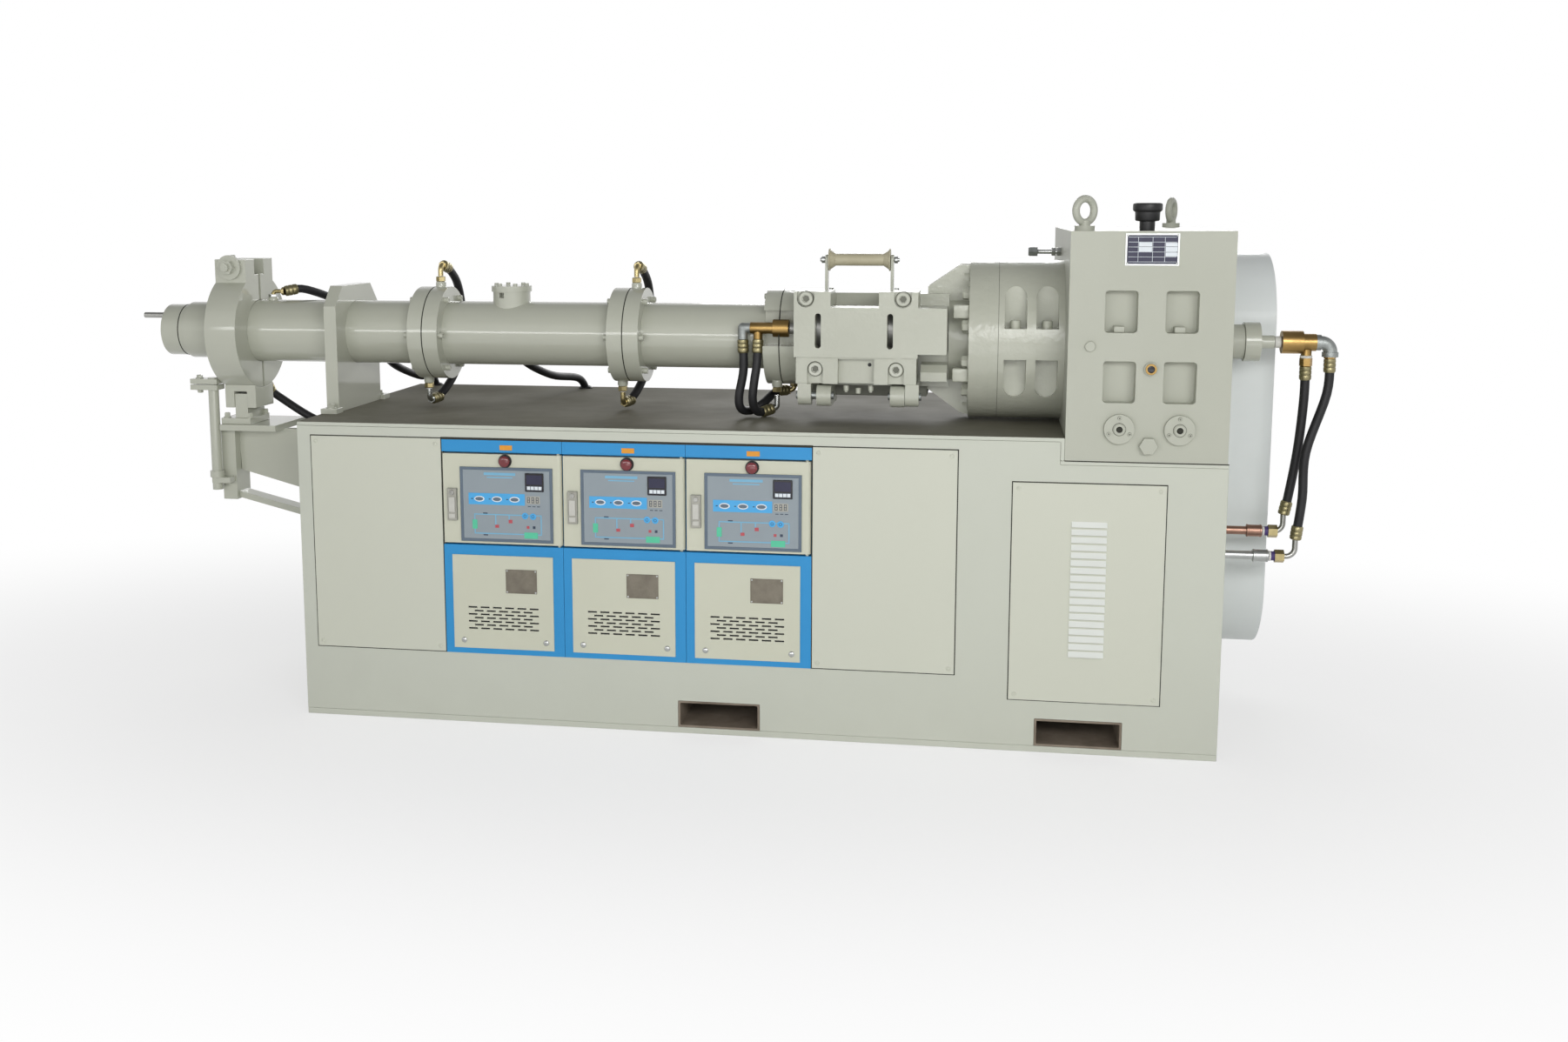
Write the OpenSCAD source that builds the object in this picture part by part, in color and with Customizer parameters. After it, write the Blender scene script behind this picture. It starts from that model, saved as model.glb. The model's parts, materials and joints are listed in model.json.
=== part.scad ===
// Rubber hose extruder on a cabinet base. Millimetres, +Z up, +X towards the drive end.
// Origin: centre of the base's underside, on the floor. The front is -Y.

/* [Base] */
// length of the base along X
base_len = 2350; // [2300:10:2450]
// depth of the base along Y
base_w = 900; // [860:10:1000]
// height of the deck under the barrel
deck_z = 790; // [770:2:820]
// step down from the deck to the gearbox seat
seat_drop = 56; // [30:2:80]
// plate thickness of the walls
wall_t = 10; // [8:1:14]
// thickness of the floor plate
floor_t = 16; // [12:1:18]
// clear width of a fork pocket
pocket_w = 200; // [160:5:220]
// clear height of a fork pocket
pocket_h = 58; // [45:1:64]
// thickness of the cover sheets
sheet_t = 3; // [2:0.5:4]
// width of the louvre panel
louvre_w = 363; // [340:1:380]
// height of the louvre panel
louvre_h = 545; // [520:1:560]

/* [Temperature units] */
// pitch of the three units
unit_w = 320; // [300:2:330]
// height of a unit
unit_h = 564; // [520:2:570]
// depth of a unit behind its face
unit_d = 430; // [350:5:500]
// thickness of a unit door
door_t = 20; // [16:1:24]
// height of a unit door
door_h = 234; // [200:2:240]

/* [Barrel] */
// radius of the barrel jacket
barrel_r = 87; // [80:1:92]
// radius of the barrel flanges
flange_r = 127; // [120:1:135]
// thickness of one flange
flange_t = 43; // [35:1:50]
// length of the front barrel section, to the middle of the clamp
front_len = 567; // [540:1:600]
// length of the middle barrel section
middle_len = 555; // [500:1:600]
// length of the rear barrel section
rear_len = 419; // [390:1:440]
// radius of the vent port
vent_r = 55; // [45:1:60]
// width of the support plate
support_w = 296; // [270:2:320]
// thickness of the support plate
support_t = 35; // [25:1:45]

/* [Feed section] */
// length of the feed section between its flanges
feed_len = 446; // [436:1:456]
// radius of the feed screw
screw_r = 45; // [40:1:47]
// radius of the feed roller
roller_r = 58; // [50:1:60]
// radius of the hinge pins
pin_r = 10; // [8:0.5:12]
// radius of the guide roller's end flanges
guide_r = 29; // [24:1:34]

/* [Drive] */
// radius of the bearing drum
drum_r = 206; // [200:1:215]
// length of the bearing drum
drum_len = 188; // [180:1:200]
// length of the gearbox along X
gear_len = 380; // [370:2:390]
// depth of the gearbox along Y
gear_w = 880; // [820:5:890]
// top of the gearbox over the deck
gear_up = 495; // [460:5:520]
// radius of the drive shaft
shaft_r = 30; // [25:0.5:34]
// radius of the tail collar
collar_r = 50; // [45:1:55]
// radius of the belt guard's round ends
guard_r = 190; // [180:2:200]
// height of the belt guard
guard_h = 1086; // [1000:2:1100]
// thickness of the belt guard
guard_t = 180; // [150:5:200]

/* [Head] */
// outer radius of the clamp ring
clamp_r = 160; // [150:1:170]
// width of the clamp ring along X
clamp_w = 91; // [86:1:100]
// radius of the die nose
nose_r = 79; // [70:1:84]
// length of the die nose past the clamp ring
nose_len = 178; // [150:2:200]
// distance of the clamp ring's middle from the end of the base
head_out = 299; // [290:1:340]

/* [Hoses] */
// diameter of the water hoses
hose_d = 23; // [18:1:26]

/* [Hidden] */
$fn = 48;
run_gap = 0.05;
seat_gap = 0.3;
xl = -base_len / 2;
xr = base_len / 2;
yf = -base_w / 2;
yb = base_w / 2;
drum_gap = 4;
ya = -110;
za = deck_z + drum_r + drum_gap;
seat_z = deck_z - seat_drop;
box_flange_t = 48;
// The head stands clear of the base's left end, and the gearbox stands at the right end or as near as the barrel lets it.
end_gap = 3;
run_len = front_len + middle_len + rear_len + flange_t + feed_len + box_flange_t + drum_len + gear_len;
x_gear_r = min(xl - head_out, xr - end_gap - run_len) + run_len;
x_gear = x_gear_r - gear_len;
x_drum = x_gear - drum_len;
x_box_r = x_drum - box_flange_t;
x_seam3 = x_box_r - feed_len - flange_t;
x_box_l = x_seam3 + flange_t;
x_seam2 = x_seam3 - rear_len;
x_seam1 = x_seam2 - middle_len;
x_head = x_seam1 - front_len;
// front length beside the units and the louvre panel, and the shares of it at the left, between and at the right
free_len = base_len - 3 * unit_w - louvre_w;
unit_x0 = xl + free_len * 395 / 1027;
unit_z0 = deck_z - 602;
unit_face = yf - 2;
unit_z1 = unit_z0 + unit_h;
door_z1 = unit_z1 - 36;
door_z0 = door_z1 - door_h;
door_gap = 5;
hinge_r = door_t / 2;
pivot_r = 4;
pocket_x = [-57, xr - 333];
nip = 11;
roller_up = 30;
roller_y = ya - sqrt(pow(screw_r + roller_r + nip, 2) - pow(roller_up, 2));
roller_z = za + roller_up;
y_split = ya - 90;
y_front = ya - 215;
hinge_y = ya - 187;
hinge_z = za - 135;
gear_z1 = deck_z + gear_up;
x_boss = xr + 72;
x_collar = x_boss + 39;
x_union = x_collar + 55;
hr = hose_d / 2;

module slab(x0, x1, y0, y1, z0, z1) {
    translate([x0, y0, z0]) cube([x1 - x0, y1 - y0, z1 - z0]);
}
module rod_x(r, x0, x1, y = ya, z = za) {
    translate([x0, y, z]) rotate([0, 90, 0]) cylinder(r = r, h = x1 - x0);
}
module rod_y(r, y0, y1, x, z) {
    translate([x, y1, z]) rotate([90, 0, 0]) cylinder(r = r, h = y1 - y0);
}
module rod_z(r, z0, z1, x, y) {
    translate([x, y, z0]) cylinder(r = r, h = z1 - z0);
}
// prism along X from an outline in Y and Z
module prism_x(x0, x1, outline) {
    translate([x0, 0, 0]) rotate([90, 0, 90]) linear_extrude(x1 - x0) polygon(outline);
}
// prism along Y from an outline in X and Z
module prism_y(y0, y1, outline) {
    translate([0, y1, 0]) rotate([90, 0, 0]) linear_extrude(y1 - y0) polygon(outline);
}

// Base

module pocket_holes(clear) {
    for (px = pocket_x)
        slab(px - pocket_w / 2 - clear, px + pocket_w / 2 + clear, yf - 1, yb + 1, floor_t, floor_t + pocket_h + 6 + clear);
}

module base_floor() {
    color([0.78, 0.77, 0.70]) slab(xl, xr, yf, yb, 0, floor_t);
}

module wall_outline() {
    polygon([[xl, floor_t], [xr, floor_t], [xr, seat_z - wall_t], [x_gear - wall_t, seat_z - wall_t],
        [x_gear - wall_t, deck_z - wall_t], [xl, deck_z - wall_t]]);
}

louvre_x1 = xr - free_len * 141 / 1027;
louvre_gap = free_len * 134 / 1027;
louvre_x0 = louvre_x1 - louvre_w;
louvre_z0 = unit_z0 - 54;
louvre_z1 = louvre_z0 + louvre_h;
bay_x1 = unit_x0 + 3 * unit_w;

module base_front_wall() {
    color([0.80, 0.79, 0.73]) difference() {
        union() {
            translate([0, yf + wall_t, 0]) rotate([90, 0, 0]) linear_extrude(wall_t) wall_outline();
            slab(unit_x0 - 10, bay_x1 + 10, yf + wall_t - 1, unit_face + unit_d, unit_z0 - 8, unit_z0);
        }
        slab(unit_x0, bay_x1, yf - 1, yf + wall_t + 1, unit_z0, unit_z1);
        slab(louvre_x0 + 12, louvre_x1 - 12, yf - 1, yf + wall_t + 1, louvre_z0 + 12, louvre_z1 - 12);
        pocket_holes(6);
    }
}

module base_rear_wall() {
    color([0.80, 0.79, 0.73]) difference() {
        translate([0, yb, 0]) rotate([90, 0, 0]) linear_extrude(wall_t) wall_outline();
        pocket_holes(6);
    }
}

module base_end_walls() {
    color([0.80, 0.79, 0.73]) {
        slab(xl, xl + wall_t, yf + wall_t, yb - wall_t, floor_t, deck_z - wall_t);
        slab(xr - wall_t, xr, yf + wall_t, yb - wall_t, floor_t, seat_z - wall_t);
    }
}

module deck_plate() {
    color([0.66, 0.66, 0.58]) union() {
        slab(xl, x_gear, yf, yb, deck_z - wall_t, deck_z);
        slab(x_gear - wall_t, x_gear, yf, yb, seat_z, deck_z);
    }
}

module gearbox_seat() {
    color([0.80, 0.79, 0.73]) slab(x_gear - wall_t, xr, yf, yb, seat_z - wall_t, seat_z);
}

module fork_pockets() {
    color([0.45, 0.38, 0.33]) for (px = pocket_x) difference() {
        slab(px - pocket_w / 2 - 6, px + pocket_w / 2 + 6, yf, yb, floor_t, floor_t + pocket_h + 12);
        slab(px - pocket_w / 2, px + pocket_w / 2, yf - 1, yb + 1, floor_t + 6, floor_t + 6 + pocket_h);
    }
}

cover_z0 = unit_z0 + 2;
cover_z1 = unit_z1 + 2;

module front_cover_panels() {
    color([0.82, 0.81, 0.75]) {
        slab(xl + 39, unit_x0 - 2, yf - sheet_t, yf, cover_z0, cover_z1);
        slab(bay_x1 + 2, louvre_x0 - louvre_gap, yf - sheet_t, yf, cover_z0, cover_z1);
    }
}

module rear_cover_panels() {
    edge = 60;
    pitch = (x_gear - xl - 2 * edge) / 3;
    color([0.82, 0.81, 0.75]) for (i = [0 : 2])
        slab(xl + edge + i * pitch, xl + edge + (i + 1) * pitch - edge / 2, yb, yb + sheet_t, cover_z0, cover_z1);
}

slat_n = 18;
module louvre_panel() {
    zs = louvre_z0 + 113;
    pitch = 343 / slat_n;
    color([0.84, 0.83, 0.77]) difference() {
        union() {
            slab(louvre_x0, louvre_x1, yf - sheet_t, yf, louvre_z0, louvre_z1);
            for (i = [0 : slat_n - 1])
                prism_x(louvre_x0 + 142, louvre_x0 + 226, [[yf - sheet_t / 2, zs + i * pitch + 3],
                    [yf - sheet_t - 9, zs + i * pitch + 3], [yf - sheet_t / 2, zs + i * pitch + 17.5]]);
        }
        for (i = [0 : slat_n - 1])
            prism_x(louvre_x0 + 144, louvre_x0 + 224, [[yf + 1, zs + i * pitch + 1],
                [yf - sheet_t - 7, zs + i * pitch + 1], [yf - sheet_t - 7, zs + i * pitch + 4.5], [yf + 1, zs + i * pitch + 14]]);
    }
}

// Temperature units

module unit_shell() {
    difference() {
        slab(0.5, unit_w - 0.5, unit_face, unit_face + unit_d, unit_z0, unit_z1);
        // recess the door sits in
        slab(-1, unit_w + 1, unit_face - 1, unit_face + door_t + door_gap, door_z0 - door_gap, door_z1 + door_gap);
        // upper and lower compartments
        slab(14, unit_w - 14, unit_face, unit_face + unit_d - 4, door_z0 + 8, door_z1 - 8);
        slab(27, unit_w - 30, unit_face - 1, unit_face + unit_d - 4, unit_z0 + 20, door_z0 - 38);
        for (z = [door_z0 - 16, door_z1 - 1])
            rod_z(pivot_r + run_gap, z, z + 17, unit_w - 2.5 - hinge_r, unit_face + hinge_r);
    }
}

module unit_cabinets() {
    color([0.22, 0.55, 0.78]) for (i = [0 : 2]) translate([unit_x0 + i * unit_w, 0, 0]) unit_shell();
}

// seven staggered rows of slots
module vent_slots() {
    for (r = [0 : 6]) for (k = [0 : 5 - r % 2]) translate([63 + 33 * k + 16.5 * (r % 2), unit_z0 + 66 + 9.4 * r]) square([24, 4.4]);
}
module unit_lower_panels() {
    color([0.86, 0.85, 0.78]) for (i = [0 : 2]) translate([unit_x0 + i * unit_w, unit_face, 0]) rotate([90, 0, 0])
        linear_extrude(sheet_t) difference() {
            translate([23, unit_z0 + 15]) square([unit_w - 51, door_z0 - unit_z0 - 46]);
            vent_slots();
        }
}

module unit_door(i) {
    ax = unit_w - 2.5 - hinge_r;
    ay = unit_face + hinge_r;
    color([0.87, 0.86, 0.80]) translate([unit_x0 + i * unit_w, 0, 0]) difference() {
        union() {
            slab(2.5, ax, unit_face, unit_face + door_t, door_z0, door_z1);
            rod_z(hinge_r, door_z0, door_z1, ax, ay);
            rod_z(pivot_r, door_z0 - 14, door_z1 + 14, ax, ay);
            // display panel, lock handle and lamp
            slab(49, unit_w - 25, unit_face - 2, unit_face + 1, door_z0 + 6, door_z1 - 33);
            slab(15, 40, unit_face - 8, unit_face + 1, door_z0 + 60, door_z0 + 144);
            rod_y(14, unit_face - 12, unit_face + 1, 170, door_z1 - 17);
        }
        // the sheet door is hollow behind
        slab(14, ax - 16, unit_face + 3, unit_face + door_t + 1, door_z0 + 12, door_z1 - 12);
    }
}
module unit_door_1() { unit_door(0); }
module unit_door_2() { unit_door(1); }
module unit_door_3() { unit_door(2); }

// Barrel

module barrel_section(x0, x1, left, right) {
    rod_x(barrel_r, x0, x1);
    if (left) rod_x(flange_r, x0, x0 + flange_t);
    if (right) rod_x(flange_r, x1 - flange_t, x1);
}

clamp_lip_r = barrel_r + 31;
clamp_lip_t = 26;

module barrel_front() {
    color([0.63, 0.64, 0.57]) union() {
        barrel_section(x_head, x_seam1, false, true);
        rod_x(clamp_lip_r, x_head, x_head + clamp_lip_t);
    }
}

vent_x = x_seam1 + 217;
module barrel_middle() {
    color([0.63, 0.64, 0.57]) difference() {
        union() {
            barrel_section(x_seam1, x_seam2, true, true);
            rod_z(vent_r - 4, za, za + barrel_r + 28, vent_x, ya);
        }
        // square hole in the vent's neck
        slab(vent_x - 21, vent_x - 7, ya - vent_r - 1, ya - vent_r + 30, za + barrel_r + 12, za + barrel_r + 26);
    }
}

// room in the rear flange pair for the roller's shaft and union
module shaft_notch(x0, x1) {
    slab(x0, x1, ya - flange_r - 20, roller_y + 40, roller_z - 46, roller_z + 46);
}

module barrel_rear() {
    color([0.63, 0.64, 0.57]) difference() {
        barrel_section(x_seam2, x_seam3, true, true);
        shaft_notch(x_seam3 - flange_t - 1, x_seam3 + 1);
    }
}

module vent_plug() {
    zt = za + barrel_r + 28;
    color([0.66, 0.67, 0.60]) union() {
        rod_z(vent_r, zt, zt + 16, vent_x, ya);
        for (a = [0 : 60 : 300]) rod_z(6, zt + 15, zt + 23, vent_x + (vent_r - 12) * cos(a), ya + (vent_r - 12) * sin(a));
    }
}

support_z1 = za + 132;
module barrel_support() {
    h = support_w / 2;
    color([0.66, 0.67, 0.60]) difference() {
        union() {
            prism_x(xl, xl + support_t, [[ya - h, deck_z], [ya + h, deck_z], [ya + h, support_z1 - 54],
                [ya + h - 50, support_z1], [ya - h + 50, support_z1], [ya - h, support_z1 - 54]]);
            for (s = [-1, 1]) slab(xl, xl + 46, ya + s * (h + 20) - 22, ya + s * (h + 20) + 22, deck_z, deck_z + 14);
        }
        rod_x(barrel_r + run_gap, xl - 1, xl + support_t + 1);
    }
}

// Head

x_clamp0 = x_head - clamp_w / 2;
x_clamp1 = x_head + clamp_w / 2;
x_nose = x_clamp0 - nose_len;

module die_nose() {
    color([0.63, 0.64, 0.57]) difference() {
        union() {
            rod_x(clamp_lip_r, x_head - clamp_lip_t, x_head);
            rod_x(nose_r, x_clamp0 - 110, x_head);
            rod_x(nose_r - 7, x_nose, x_clamp0 - 109);
        }
        rod_x(24, x_nose - 1, x_nose + 45);
        rod_x(8 + run_gap, x_nose - 1, x_nose + 30, ya, za + 40);
    }
}

module core_rod() {
    color([0.75, 0.75, 0.72]) union() {
        rod_x(8, x_nose - 86, x_nose + 29, ya, za + 40);
        rod_x(12, x_nose - 14, x_nose, ya, za + 40);
    }
}

lug_in = 28;
lug_out = 82;
// one half of the ring, side -1 at the front and 1 at the rear
module clamp_half(side) {
    split = 5;
    difference() {
        union() {
            rod_x(clamp_r, x_clamp0, x_clamp1);
            slab(x_clamp0, x_clamp1, ya + (side < 0 ? -lug_out : lug_in), ya + (side < 0 ? -lug_in : lug_out), za + 100, za + clamp_r + 42);
        }
        rod_x(max(barrel_r, nose_r) + seat_gap, x_clamp0 - 1, x_clamp1 + 1);
        rod_x(clamp_lip_r + seat_gap, x_head - clamp_lip_t - seat_gap, x_head + clamp_lip_t + seat_gap);
        if (side < 0) slab(x_clamp0 - 1, x_clamp1 + 1, ya - split, ya + 400, za - 400, za + 400);
        else slab(x_clamp0 - 1, x_clamp1 + 1, ya - 400, ya + split, za - 400, za + 400);
        rod_y(11 + run_gap, ya - 400, ya + 400, x_head, za + clamp_r + 20);
    }
}
module clamp_front_half() { color([0.66, 0.67, 0.60]) clamp_half(-1); }
module clamp_rear_half() { color([0.66, 0.67, 0.60]) clamp_half(1); }

module clamp_bolt() {
    z = za + clamp_r + 20;
    color([0.60, 0.60, 0.56]) union() {
        rod_y(11, ya - lug_out - 36, ya + lug_out + 14, x_head, z);
        rod_y(34, ya - lug_out - 10, ya - lug_out, x_head, z);
        translate([x_head, ya - lug_out - 9, z]) rotate([90, 0, 0]) cylinder(r = 20, h = 17, $fn = 6);
        translate([x_head, ya + lug_out + 16, z]) rotate([90, 0, 0]) cylinder(r = 20, h = 16, $fn = 6);
    }
}

foot_z = za - 280;
// a clevis under the clamp ring, and the tongue that it slides on
module head_foot() {
    color([0.62, 0.63, 0.56]) {
        difference() {
            slab(x_head - 46, x_head + 46, ya - 55, ya + 55, foot_z + 64, za - clamp_r + 20);
            rod_x(clamp_r + run_gap, x_head - 60, x_head + 60);
            slab(x_head - 19, x_head + 19, ya - 60, ya + 60, foot_z + 60, foot_z + 110);
        }
        union() {
            slab(x_head - 18.9, x_head + 18.9, ya - 52, ya + 52, foot_z + 32, foot_z + 104);
            slab(x_head - 59, x_head + 29, ya - 60, ya + 60, foot_z + 17, foot_z + 35);
        }
    }
}

module head_bracket() {
    zt = foot_z + 17;
    color([0.66, 0.67, 0.60]) union() {
        slab(x_head - 60, x_head + 108, ya - 70, ya + 140, foot_z, zt);
        prism_y(ya - 10, ya + 10, [[x_head - 33, foot_z + 1], [xl, foot_z + 1], [xl, foot_z - 208], [x_head - 28, foot_z - 120]]);
        slab(x_head - 72, x_head - 30, ya - 40, ya + 40, foot_z - 202, foot_z + 1);
        prism_y(ya - 25, ya + 25, [[x_head - 40, foot_z - 196], [xl, foot_z - 280], [xl, foot_z - 262], [x_head - 40, foot_z - 178]]);
        slab(xl - 12, xl, ya - 90, ya + 90, foot_z - 300, foot_z + 20);
    }
}

post_x = x_head - 78;
module swing_post() {
    color([0.62, 0.63, 0.56]) union() {
        rod_z(14.5, foot_z - 170, za - 130, post_x, ya - 60);
        rod_z(20, foot_z - 134, foot_z - 116, post_x, ya - 60);
        slab(post_x - 58, post_x + 22, ya - 82, ya - 38, za - 164, za - 149);
        slab(post_x - 58, post_x + 22, ya - 82, ya - 38, za - 147, za - 133);
        slab(post_x - 10, x_head - 34, ya - 74, ya - 40, foot_z - 150, foot_z - 134);
    }
}

// Feed section

house_x0 = x_box_l + 7;
house_x1 = x_box_r - 126;
roller_x0 = house_x0 + 24;
roller_x1 = house_x1 - 24;
notch_x0 = house_x0 + 93;
notch_x1 = house_x1 - 98;
lug_x = [house_x0 + 58, house_x1 - 68];
lug_w = 37;
ear_x = [house_x0 + 10, house_x1 - 30];
ear_w = 34;
house_z1 = za + 131;
house_z0 = za - 103;
seam_z = za - 35;
lug_r = 27;

module feed_box() {
    rib = 8;
    bx0 = x_box_l - 1;
    color([0.63, 0.64, 0.57]) difference() {
        union() {
            rod_x(flange_r, x_seam3, x_box_l);
            difference() {
                rod_x(118, bx0, x_box_r + 1);
                slab(bx0 + 1, house_x1 + 74, ya - 200, y_split + 0.5, za - 200, za + 200);
            }
            slab(bx0, house_x1 + 74, y_split + 0.5, ya, za - 118, za + 121);
            rod_x(drum_r, x_box_r, x_drum);
            // ledge under the housing's extension
            prism_x(house_x1 + 5, house_x1 + 72, [[y_split + 1, za - 54], [y_split - 44, za - 58], [y_split - 62, za - 76],
                [y_split - 62, za - 99], [y_split + 1, za - 99]]);
            for (y = [ya - 50, ya + 50]) {
                prism_y(y - rib, y + rib, [[x_box_r - 108, za + 80], [x_box_r + 1, za + 80],
                    [x_box_r + 1, za + 194], [x_box_r - 26, za + 194], [x_box_r - 108, za + 138]]);
                prism_y(y - rib, y + rib, [[x_box_r - 108, za - 80], [x_box_r + 1, za - 80],
                    [x_box_r + 1, za - 194], [x_box_r - 22, za - 188], [x_box_r - 108, za - 126]]);
            }
            for (x = lug_x) {
                rod_x(lug_r, x, x + lug_w, hinge_y, hinge_z);
                slab(x, x + lug_w, hinge_y, y_split + 40, hinge_z - lug_r, house_z0 - 7);
                slab(x, x + lug_w, y_split + 0.5, y_split + 40, hinge_z - lug_r, za - 100);
            }
        }
        rod_x(screw_r + 0.6, roller_x0 - 8, roller_x1 + 8);
        rod_x(shaft_r + run_gap, x_seam3 - 1, x_drum + 1);
        // room for the roller, at rest and as it swings out
        for (a = [0, 7, 14]) rod_x(roller_r + 6, roller_x0 - 6, roller_x1 + 6,
            hinge_y + (roller_y - hinge_y) * cos(a) - (roller_z - hinge_z) * sin(a),
            hinge_z + (roller_z - hinge_z) * cos(a) + (roller_y - hinge_y) * sin(a));
        // throat from the top
        prism_x(notch_x0 - 5, notch_x1 + 5, [[y_split - 20, za + 20], [ya - 20, za + 20], [ya - 30, za + 60], [ya + 30, za + 140], [y_split - 20, za + 140]]);
        // notch for the roller's shaft and union
        shaft_notch(x_seam3 - 1, x_box_l);
        for (x = lug_x) rod_x(pin_r + run_gap, x - 1, x + lug_w + 1, hinge_y, hinge_z);
    }
}

module feed_housing() {
    color([0.66, 0.67, 0.60]) difference() {
        union() {
            slab(house_x0, house_x1, y_front, y_split, seam_z, house_z1);
            slab(house_x1 - 1, house_x1 + 72, y_front, y_split, seam_z + 10, za + 91);
            slab(house_x0 + 5, house_x1 - 3, y_front + 7, y_split, house_z0, seam_z + 1);
            for (x = ear_x) {
                rod_x(lug_r - 2, x, x + ear_w, hinge_y, hinge_z);
                slab(x, x + ear_w, hinge_y - lug_r + 2, hinge_y + lug_r - 2, hinge_z, house_z0 + 1);
            }
        }
        rod_x(roller_r + 5, roller_x0 - 5, roller_x1 + 5, roller_y, roller_z);
        rod_x(15 + run_gap, house_x0 - 1, house_x1 + 20, roller_y, roller_z);
        slab(notch_x0, notch_x1, y_front - 1, y_split + 1, za + 91, house_z1 + 1);
        // window on the nip between roller and screw
        slab(roller_x0 - 5, roller_x1 + 5, roller_y, y_split + 1, za - 34, roller_z);
        for (x = [house_x0 + 61.5, house_x1 - 69.5]) {
            slab(x - 7.5, x + 7.5, y_front - 1, roller_y - 20, za - 5, za + 69);
            for (z = [za - 5, za + 69]) rod_y(7.5, y_front - 1, roller_y - 20, x, z);
        }
        slab(house_x0 + 112, house_x1 - 109, y_front - 1, y_front + 32, house_z0 - 1, seam_z - 4);
        for (s = [[house_x0 + 30, za + 113], [house_x1 - 38, za + 113]]) {
            rod_y(22, y_front - 1, y_front + 14, s[0], s[1]);
            slab(s[0] - 22, s[0] + 22, y_front - 1, y_front + 14, s[1], house_z1 + 1);
        }
        for (s = [[house_x0 + 54, za - 66], [house_x1 - 54, za - 66]]) {
            rod_y(20, y_front - 1, y_front + 21, s[0], s[1]);
            slab(s[0] - 20, s[0] + 20, y_front - 1, y_front + 21, house_z0 - 1, s[1]);
        }
        for (x = ear_x) rod_x(pin_r + run_gap, x - 1, x + ear_w + 1, hinge_y, hinge_z);
    }
}

module feed_hinge_pins() {
    color([0.55, 0.55, 0.52]) {
        rod_x(pin_r, ear_x[0] - 6, lug_x[0] + lug_w + 6, hinge_y, hinge_z);
        rod_x(pin_r, lug_x[1] - 6, ear_x[1] + ear_w + 6, hinge_y, hinge_z);
    }
}

union_x1 = x_box_l - 18;
module feed_roller() {
    color([0.42, 0.42, 0.40]) union() {
        rod_x(roller_r, roller_x0, roller_x1, roller_y, roller_z);
        rod_x(15, union_x1 + 2, house_x1 + 18, roller_y, roller_z);
        rod_x(8, union_x1 - 20, union_x1 + 3, roller_y, roller_z);
    }
}

module feed_union() {
    color([0.72, 0.58, 0.28]) difference() {
        union() {
            rod_x(23, union_x1 - 42, union_x1, roller_y, roller_z);
            rod_x(15, union_x1 - 102, union_x1 - 41, roller_y, roller_z);
            rod_x(13, union_x1 - 122, union_x1 - 101, roller_y, roller_z);
            rod_z(13, roller_z - 30, roller_z, union_x1 - 122, roller_y);
            translate([union_x1 - 122, roller_y, roller_z]) sphere(r = 13);
            rod_z(12, roller_z - 30, roller_z, union_x1 - 82, roller_y);
        }
        rod_x(8 + run_gap, union_x1 - 22, union_x1 + 1, roller_y, roller_z);
    }
}

guide_y = y_split + 22;
guide_z = za + 207;
guide_x0 = notch_x0 - 20;
guide_x1 = notch_x1 + 20;
module guide_bracket() {
    color([0.66, 0.67, 0.60]) for (s = [0, 1]) translate([s ? guide_x1 : guide_x0 - 8, 0, 0]) difference() {
        union() {
            slab(0, 8, guide_y - 14, guide_y + 14, za + 121, guide_z);
            rod_x(14, 0, 8, guide_y, guide_z);
            slab(-14, 22, guide_y - 14, guide_y + 14, za + 121, za + 127);
        }
        rod_x(5 + run_gap, -1, 9, guide_y, guide_z);
    }
}

flare = 15;
module guide_roller() {
    x0 = guide_x0 + 1;
    x1 = guide_x1 - 1;
    color([0.85, 0.82, 0.72]) union() {
        rod_x(15.5, x0, x1, guide_y, guide_z);
        translate([x0 + 3, guide_y, guide_z]) rotate([0, 90, 0]) cylinder(r1 = guide_r - 3, r2 = 15.5, h = flare);
        translate([x1 - 3 - flare, guide_y, guide_z]) rotate([0, 90, 0]) cylinder(r1 = 15.5, r2 = guide_r - 3, h = flare);
        rod_x(guide_r, x0, x0 + 3.5, guide_y, guide_z);
        rod_x(guide_r, x1 - 3.5, x1, guide_y, guide_z);
        rod_x(5, guide_x0 - 22, guide_x1 + 22, guide_y, guide_z);
        rod_x(9, guide_x0 - 18, guide_x0 - 9, guide_y, guide_z);
        rod_x(9, guide_x1 + 9, guide_x1 + 18, guide_y, guide_z);
    }
}

flight_x0 = roller_x0 - 2;
flight_x1 = roller_x1 + 2;
flight_pitch = 90;
root_r = screw_r - 13;
module screw_section() {
    polygon([for (a = [0 : 20 : 359]) let(r = a < 60 ? screw_r : a < 80 || a > 339 ? screw_r - 5 : root_r) [r * cos(a), r * sin(a)]]);
}
module feed_screw() {
    len = flight_x1 - flight_x0;
    color([0.50, 0.50, 0.48]) translate([flight_x0, ya, za]) rotate([0, 90, 0])
        linear_extrude(len, twist = -360 * len / flight_pitch, slices = 36) screw_section();
}

module drive_shaft() {
    color([0.60, 0.60, 0.56]) union() {
        rod_x(shaft_r, flight_x1, x_boss + 1);
        rod_x(collar_r, x_boss + 0.5, x_collar);
        rod_x(17, x_collar - 1, x_union - 18);
        rod_x(9, x_union - 19, x_union + 20);
    }
}

// Drive

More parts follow.
